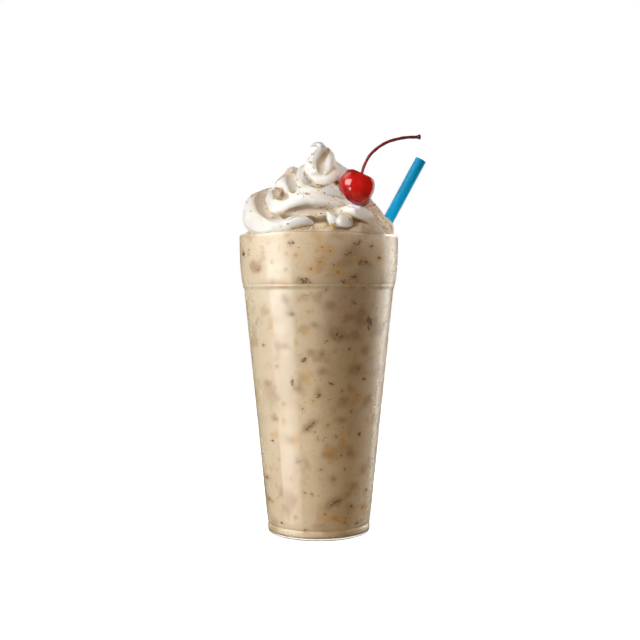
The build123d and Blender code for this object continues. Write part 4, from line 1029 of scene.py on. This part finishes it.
dark_bits.build("chopped_pieces", "shake", bits_material("pieces_brown", [(0.0, (0.14, 0.070, 0.034)), (0.45, (0.25, 0.14, 0.070)), (1.0, (0.48, 0.31, 0.16))]))
gold_bits.build("fruit_pieces", "shake", bits_material("pieces_orange", [(0.0, (0.56, 0.29, 0.10)), (0.6, (0.62, 0.38, 0.14)), (1.0, (0.70, 0.54, 0.22))], 0.9))
specks.build("fine_specks", "shake", bits_material("specks_brown", [(0.0, (0.13, 0.070, 0.034)), (0.5, (0.27, 0.165, 0.085)), (1.0, (0.48, 0.33, 0.18))], 0.5))

# ------------------------------------------------------------------ crumbs on the cream
from mathutils.bvhtree import BVHTree

tree = BVHTree.FromPolygons([Vector(p) for p in cream_v], [tuple(map(int, q)) for q in cream_f])
top_part = shake.data
mound_v = np.array([p.co[:] for p in top_part.vertices]) / MM
mound_tree = BVHTree.FromPolygons([Vector(p) for p in mound_v], [tuple(p.vertices) for p in top_part.polygons if mound_v[p.vertices[0]][2] > 168])
crumbs = Heap()


def crumb(point, normal, size, tint):
    p, fc = SMALL, SMALL_F
    k = more.uniform(0, 99)
    nrm = np.array(normal) / max(1e-6, np.linalg.norm(normal))
    a = np.cross(nrm, [0.3, 0.5, 0.81])
    a /= np.linalg.norm(a)
    b = np.cross(nrm, a)
    t = more.uniform(0, 6.28)
    a, b = a * math.cos(t) + b * math.sin(t), b * math.cos(t) - a * math.sin(t)
    ph = np.arctan2(p[:, 1], p[:, 0])
    out = 1 + 0.25 * np.cos(3 * ph + k) + 0.2 * np.cos(2 * ph + 2 * k)
    q = (p[:, :1] * out[:, None] * a * more.uniform(0.8, 1.5) + p[:, 1:2] * out[:, None] * b * more.uniform(0.6, 1.0)) * size + p[:, 2:] * nrm * size * more.uniform(0.45, 0.8)
    crumbs.put(np.asarray(point) + nrm * size * 0.22 + q, fc, tint, np.zeros(len(p)))


def settle(point, size, tint):
    """A crumb on whichever surface, cream or drink, lies nearest."""
    best = None
    for tr_ in (tree, mound_tree):
        loc, nrm, _, d = tr_.find_nearest(Vector(point))
        if loc is not None and (best is None or d < best[2]):
            best = (loc, nrm, d)
    loc, nrm, d = best
    if math.hypot(loc[0], loc[1]) > 44.6 and loc[2] < 172:
        return
    crumb(loc, nrm, size, tint)


for x, y, z, size in CRUMBS:
    settle((x, y, z), size * more.uniform(0.95, 1.15), more.uniform(0.0, 0.7))
    for _ in range(more.choice([0, 1, 1, 2])):
        settle((x + more.gauss(0, 0.8), y + more.gauss(0, 0.8), z + more.gauss(0, 0.8)), size * more.uniform(0.35, 0.75), more.uniform(0.2, 1.0))
face_pts = cream_v[cream_f].mean(1)
face_n = cream_n[cream_f[:, 0]]
weight = (0.15 + np.clip(face_n[:, 2], 0, 1)) * (0.35 + 1.5 * np.clip(0.75 - openness[cream_f[:, 0]], 0, 1)) * (face_pts[:, 2] > 172.5)
weight *= np.where(face_pts[:, 1] < -12, np.where(face_pts[:, 0] > 18, 0.55, 0.16), 1.0)
weight *= np.where(face_pts[:, 2] > 214, 0.15, 1.0)
pick = RNG.choice(len(face_pts), 520, replace=False, p=weight / weight.sum())
for i in pick:
    crumb(face_pts[i], face_n[i], more.choices([0.15, 0.24, 0.36], [5, 4, 1.2])[0] * more.uniform(0.8, 1.2), more.uniform(0.0, 1.0))
for _ in range(150):
    az = math.radians(more.uniform(-48, 48))
    r = more.uniform(36.5, 44.0)
    settle((r * math.sin(az), -r * math.cos(az), 174.0), more.choice([0.2, 0.3, 0.42]), more.uniform(0, 1))
n = Nodes("crumbs_golden")
col = n.ramp(n.attr("tint"), [(0.0, (0.44, 0.25, 0.075)), (0.30, (0.66, 0.42, 0.13)), (0.70, (0.79, 0.57, 0.23)), (1.0, (0.86, 0.72, 0.40))])
mot = n.ramp(n.noise(1400.0, 2.0), [(0.3, (0.7, 0.65, 0.6)), (0.7, (1, 1, 1))])
n.link(n.mix(1.0, col, mot, "MULTIPLY"), n.bsdf.inputs["Base Color"])
n.set(Roughness=0.7)
crumbs.build("cream_crumbs", "cream", n.mat)

# ------------------------------------------------------------------ beads of water on the outside
beads = Heap()
for _ in range(2600):
    side = more.random()
    az = more.gauss(76, 14) if side < 0.70 else more.uniform(-180, 180)
    z = more.uniform(8, 163)
    if -62 < az < 40 and more.random() < 0.75:
        continue
    size = more.choices([0.24, 0.40, 0.62], [7, 4, 1])[0] * more.uniform(0.75, 1.25)
    p, fc = SMALL, SMALL_F
    ph = np.arctan2(p[:, 1], p[:, 0])
    out = 1 + 0.12 * np.cos(2 * ph + z)
    beads.put(wall_points(az, z, p[:, 0] * size * out, p[:, 1] * size * out * 1.15, WALL + p[:, 2] * size * 0.42), fc, 0.5, np.zeros(len(p)))
n = Nodes("water_beads")
n.set(Base_Color=(1, 1, 1, 1), Roughness=0.03, IOR=1.33)
n.bsdf.inputs["Transmission Weight"].default_value = 1.0
lp = n.add("ShaderNodeLightPath")
tr = n.add("ShaderNodeBsdfTransparent")
inner = n.add("ShaderNodeMixShader")
n.link(lp.outputs["Is Diffuse Ray"], inner.inputs[0])
n.link(n.bsdf.outputs[0], inner.inputs[1])
n.link(tr.outputs[0], inner.inputs[2])
mx = n.add("ShaderNodeMixShader")
n.link(lp.outputs["Is Shadow Ray"], mx.inputs[0])
n.link(inner.outputs[0], mx.inputs[1])
n.link(tr.outputs[0], mx.inputs[2])
n.link(mx.outputs[0], n.out.inputs["Surface"])
beads.build("water_beads", "cup_plastic", n.mat)

# ------------------------------------------------------------------ cherry
def frame_of(axis):
    a = np.asarray(axis, float)
    a = a / np.linalg.norm(a)
    x = np.cross([0, 1, 0], a)
    x /= np.linalg.norm(x)
    return np.stack([x, np.cross(a, x), a], -1)


ch = frame_of(CHERRY_AXIS)
k = CHERRY_R / 10.0
ctrl = np.array([(0, -9.7), (3.0, -9.35), (5.9, -8.2), (8.1, -6.0), (9.3, -3.6), (9.9, -1.2), (10.0, 1.0), (9.6, 3.6), (8.6, 6.1), (7.0, 7.9), (5.0, 8.6),
                 (3.4, 8.5), (2.1, 7.9), (1.1, 7.1), (0, 6.5)])
prof = rounded(ctrl, 0.35, 2)
v, f = lathe(prof, 120)
th = np.arctan2(v[:, 1], v[:, 0])
lump = 1 + 0.020 * np.cos(2 * th + 0.6) + 0.012 * np.cos(3 * th + 2.0) * (v[:, 2] > 0) + 0.010 * fbm(v, 6.0, 8, 2)
v[:, 0] *= lump
v[:, 1] *= lump
# a seam, as a cherry has, down one side
seam = np.exp(-((np.angle(np.exp(1j * (th - 2.2)))) / 0.16) ** 2) * smooth((np.hypot(v[:, 0], v[:, 1]) - 1.0) / 4)
v -= v / np.maximum(np.linalg.norm(v, axis=1), 1e-6)[:, None] * (0.22 * seam)[:, None]
cherry_w = (v * k) @ ch.T + CHERRY_C
cherry = mesh_object("cherry_fruit", cherry_w, f, ["cherry"])
n = Nodes("cherry_gloss")
red = n.ramp(n.noise(90.0, 4.0, 0.6), [(0.3, (0.44, 0.003, 0.004)), (0.7, (0.62, 0.010, 0.008))])
n.link(red, n.bsdf.inputs["Base Color"])
n.set(Roughness=0.16, IOR=1.45)
n.bsdf.inputs["Subsurface Weight"].default_value = 0.15
n.bsdf.inputs["Subsurface Radius"].default_value = (1.0, 0.12, 0.08)
n.bsdf.inputs["Subsurface Scale"].default_value = 0.002
n.bsdf.inputs["Coat Weight"].default_value = 0.6
n.bsdf.inputs["Coat Roughness"].default_value = 0.05
n.bump(n.noise(240.0, 3.0), 0.10, 0.0005)
cherry.data.materials.append(n.mat)

# ------------------------------------------------------------------ cherry stem
up = CHERRY_AXIS / np.linalg.norm(CHERRY_AXIS)
dimple = CHERRY_C + up * 6.4 * k
way = np.array([(dimple[0] - 0.4, dimple[2] - 1.0), (24.5, 206.2), (25.6, 209.6), (28.6, 215.1), (33.4, 219.6), (38.8, 222.7), (44.6, 224.4),
                (49.5, 225.2), (54.2, 225.35), (57.3, 225.5)])
pts = np.stack([way[:, 0], np.full(len(way), dimple[1]), way[:, 1]], -1)
line = rope(np.hstack([pts, np.full((len(pts), 1), STEM_R)]), 0.35)[:, :3]
run = np.concatenate([[0], np.cumsum(np.linalg.norm(np.diff(line, axis=0), axis=1))])
u = run / run[-1]
rad_s = STEM_R * (1.0 + 0.18 * smooth((0.10 - u) / 0.10)) * (1 + 0.05 * np.sin(run * 1.1)) 
rad_s = rad_s + (STEM_END_R - STEM_R) * smooth((u - 0.935) / 0.055)
tail = run[-1] - run
rad_s = np.where(tail < 0.5, rad_s * np.sqrt(np.clip(1 - ((0.5 - tail) / 0.5) ** 2, 0.02, 1)) , rad_s)
tan = np.gradient(line, axis=0)
tan /= np.linalg.norm(tan, axis=1)[:, None]
side_d = np.cross(tan, [0, 1, 0])
side_d /= np.linalg.norm(side_d, axis=1)[:, None]
other = np.cross(side_d, tan)
m = 16
phi = 2 * np.pi * np.arange(m) / m
ring = side_d[:, None, :] * np.cos(phi)[None, :, None] + other[:, None, :] * np.sin(phi)[None, :, None]
wob = 1 + 0.05 * fbm(line, 3.0, 4, 2)[:, None] + 0.03 * np.cos(3 * phi)[None, :]
v = (line[:, None, :] + ring * (rad_s[:, None] * wob)[:, :, None]).reshape(-1, 3)
f = grid_faces(len(line), m, close_v=True)
v = np.vstack([v, line[:1], line[-1:]])
a, b = len(v) - 2, len(v) - 1
last = (len(line) - 1) * m
for i in range(m):
    j = (i + 1) % m
    f.append((a, i, j))
    f.append((b, last + j, last + i))
stem = mesh_object("cherry_stalk_curved", v, f, ["cherry_stem"], attrs={"along": np.concatenate([np.repeat(u, m), [0, 1]])})
n = Nodes("stalk_dark_red")
col = n.ramp(n.attr("along"), [(0.0, (0.46, 0.020, 0.022)), (0.25, (0.34, 0.022, 0.024)), (0.90, (0.24, 0.03, 0.03)), (1.0, (0.09, 0.03, 0.02))])
mot = n.ramp(n.noise(500.0, 3.0), [(0.3, (0.6, 0.55, 0.5)), (0.7, (1, 1, 1))])
n.link(n.mix(1.0, col, mot, "MULTIPLY"), n.bsdf.inputs["Base Color"])
n.set(Roughness=0.32)
n.bump(n.noise(500.0, 2.0), 0.10, 0.0003)
stem.data.materials.append(n.mat)

# ------------------------------------------------------------------ straw
L = np.linalg.norm(STRAW_HIGH - STRAW_LOW)
ro, ri = STRAW_D / 2, STRAW_D / 2 - STRAW_WALL
e = 0.10
ring_prof = [(ro, e), (ro, 0.5), (ro, L * 0.25), (ro, L * 0.5), (ro, L * 0.75), (ro, L - 0.5), (ro, L - e), (ro - 0.4 * e, L - 0.3 * e), (ro - e, L), (ri + e, L),
             (ri + 0.4 * e, L - 0.3 * e), (ri, L - e), (ri, L - 0.5), (ri, L * 0.5), (ri, 0.5), (ri, e), (ri + e, 0), (ro - e, 0)]
m = 96
phi = 2 * np.pi * np.arange(m) / m
sf = frame_of(sd)
v = np.stack([np.array([[r * math.cos(p), r * math.sin(p), z] for r, z in ring_prof]) for p in phi]).reshape(-1, 3)
v = v @ sf.T + STRAW_LOW
f = grid_faces(m, len(ring_prof), close_u=True, close_v=True)
straw = mesh_object("straw_blue", v, f, ["straw"])
n = Nodes("straw_blue_gloss")
blue = n.ramp(n.noise(40.0, 2.0), [(0.3, (0.005, 0.46, 0.92)), (0.7, (0.006, 0.50, 0.97))])
n.link(blue, n.bsdf.inputs["Base Color"])
n.set(Roughness=0.22, IOR=1.5)
n.bsdf.inputs["Specular IOR Level"].default_value = 0.3
n.bump(n.noise(90.0, 2.0), 0.04, 0.0004)
straw.data.materials.append(n.mat)

# ------------------------------------------------------------------ view
bpy.context.scene.view_settings.view_transform = "Standard"
bpy.context.scene.view_settings.look = "None"
bpy.context.scene.view_settings.exposure = 0.0
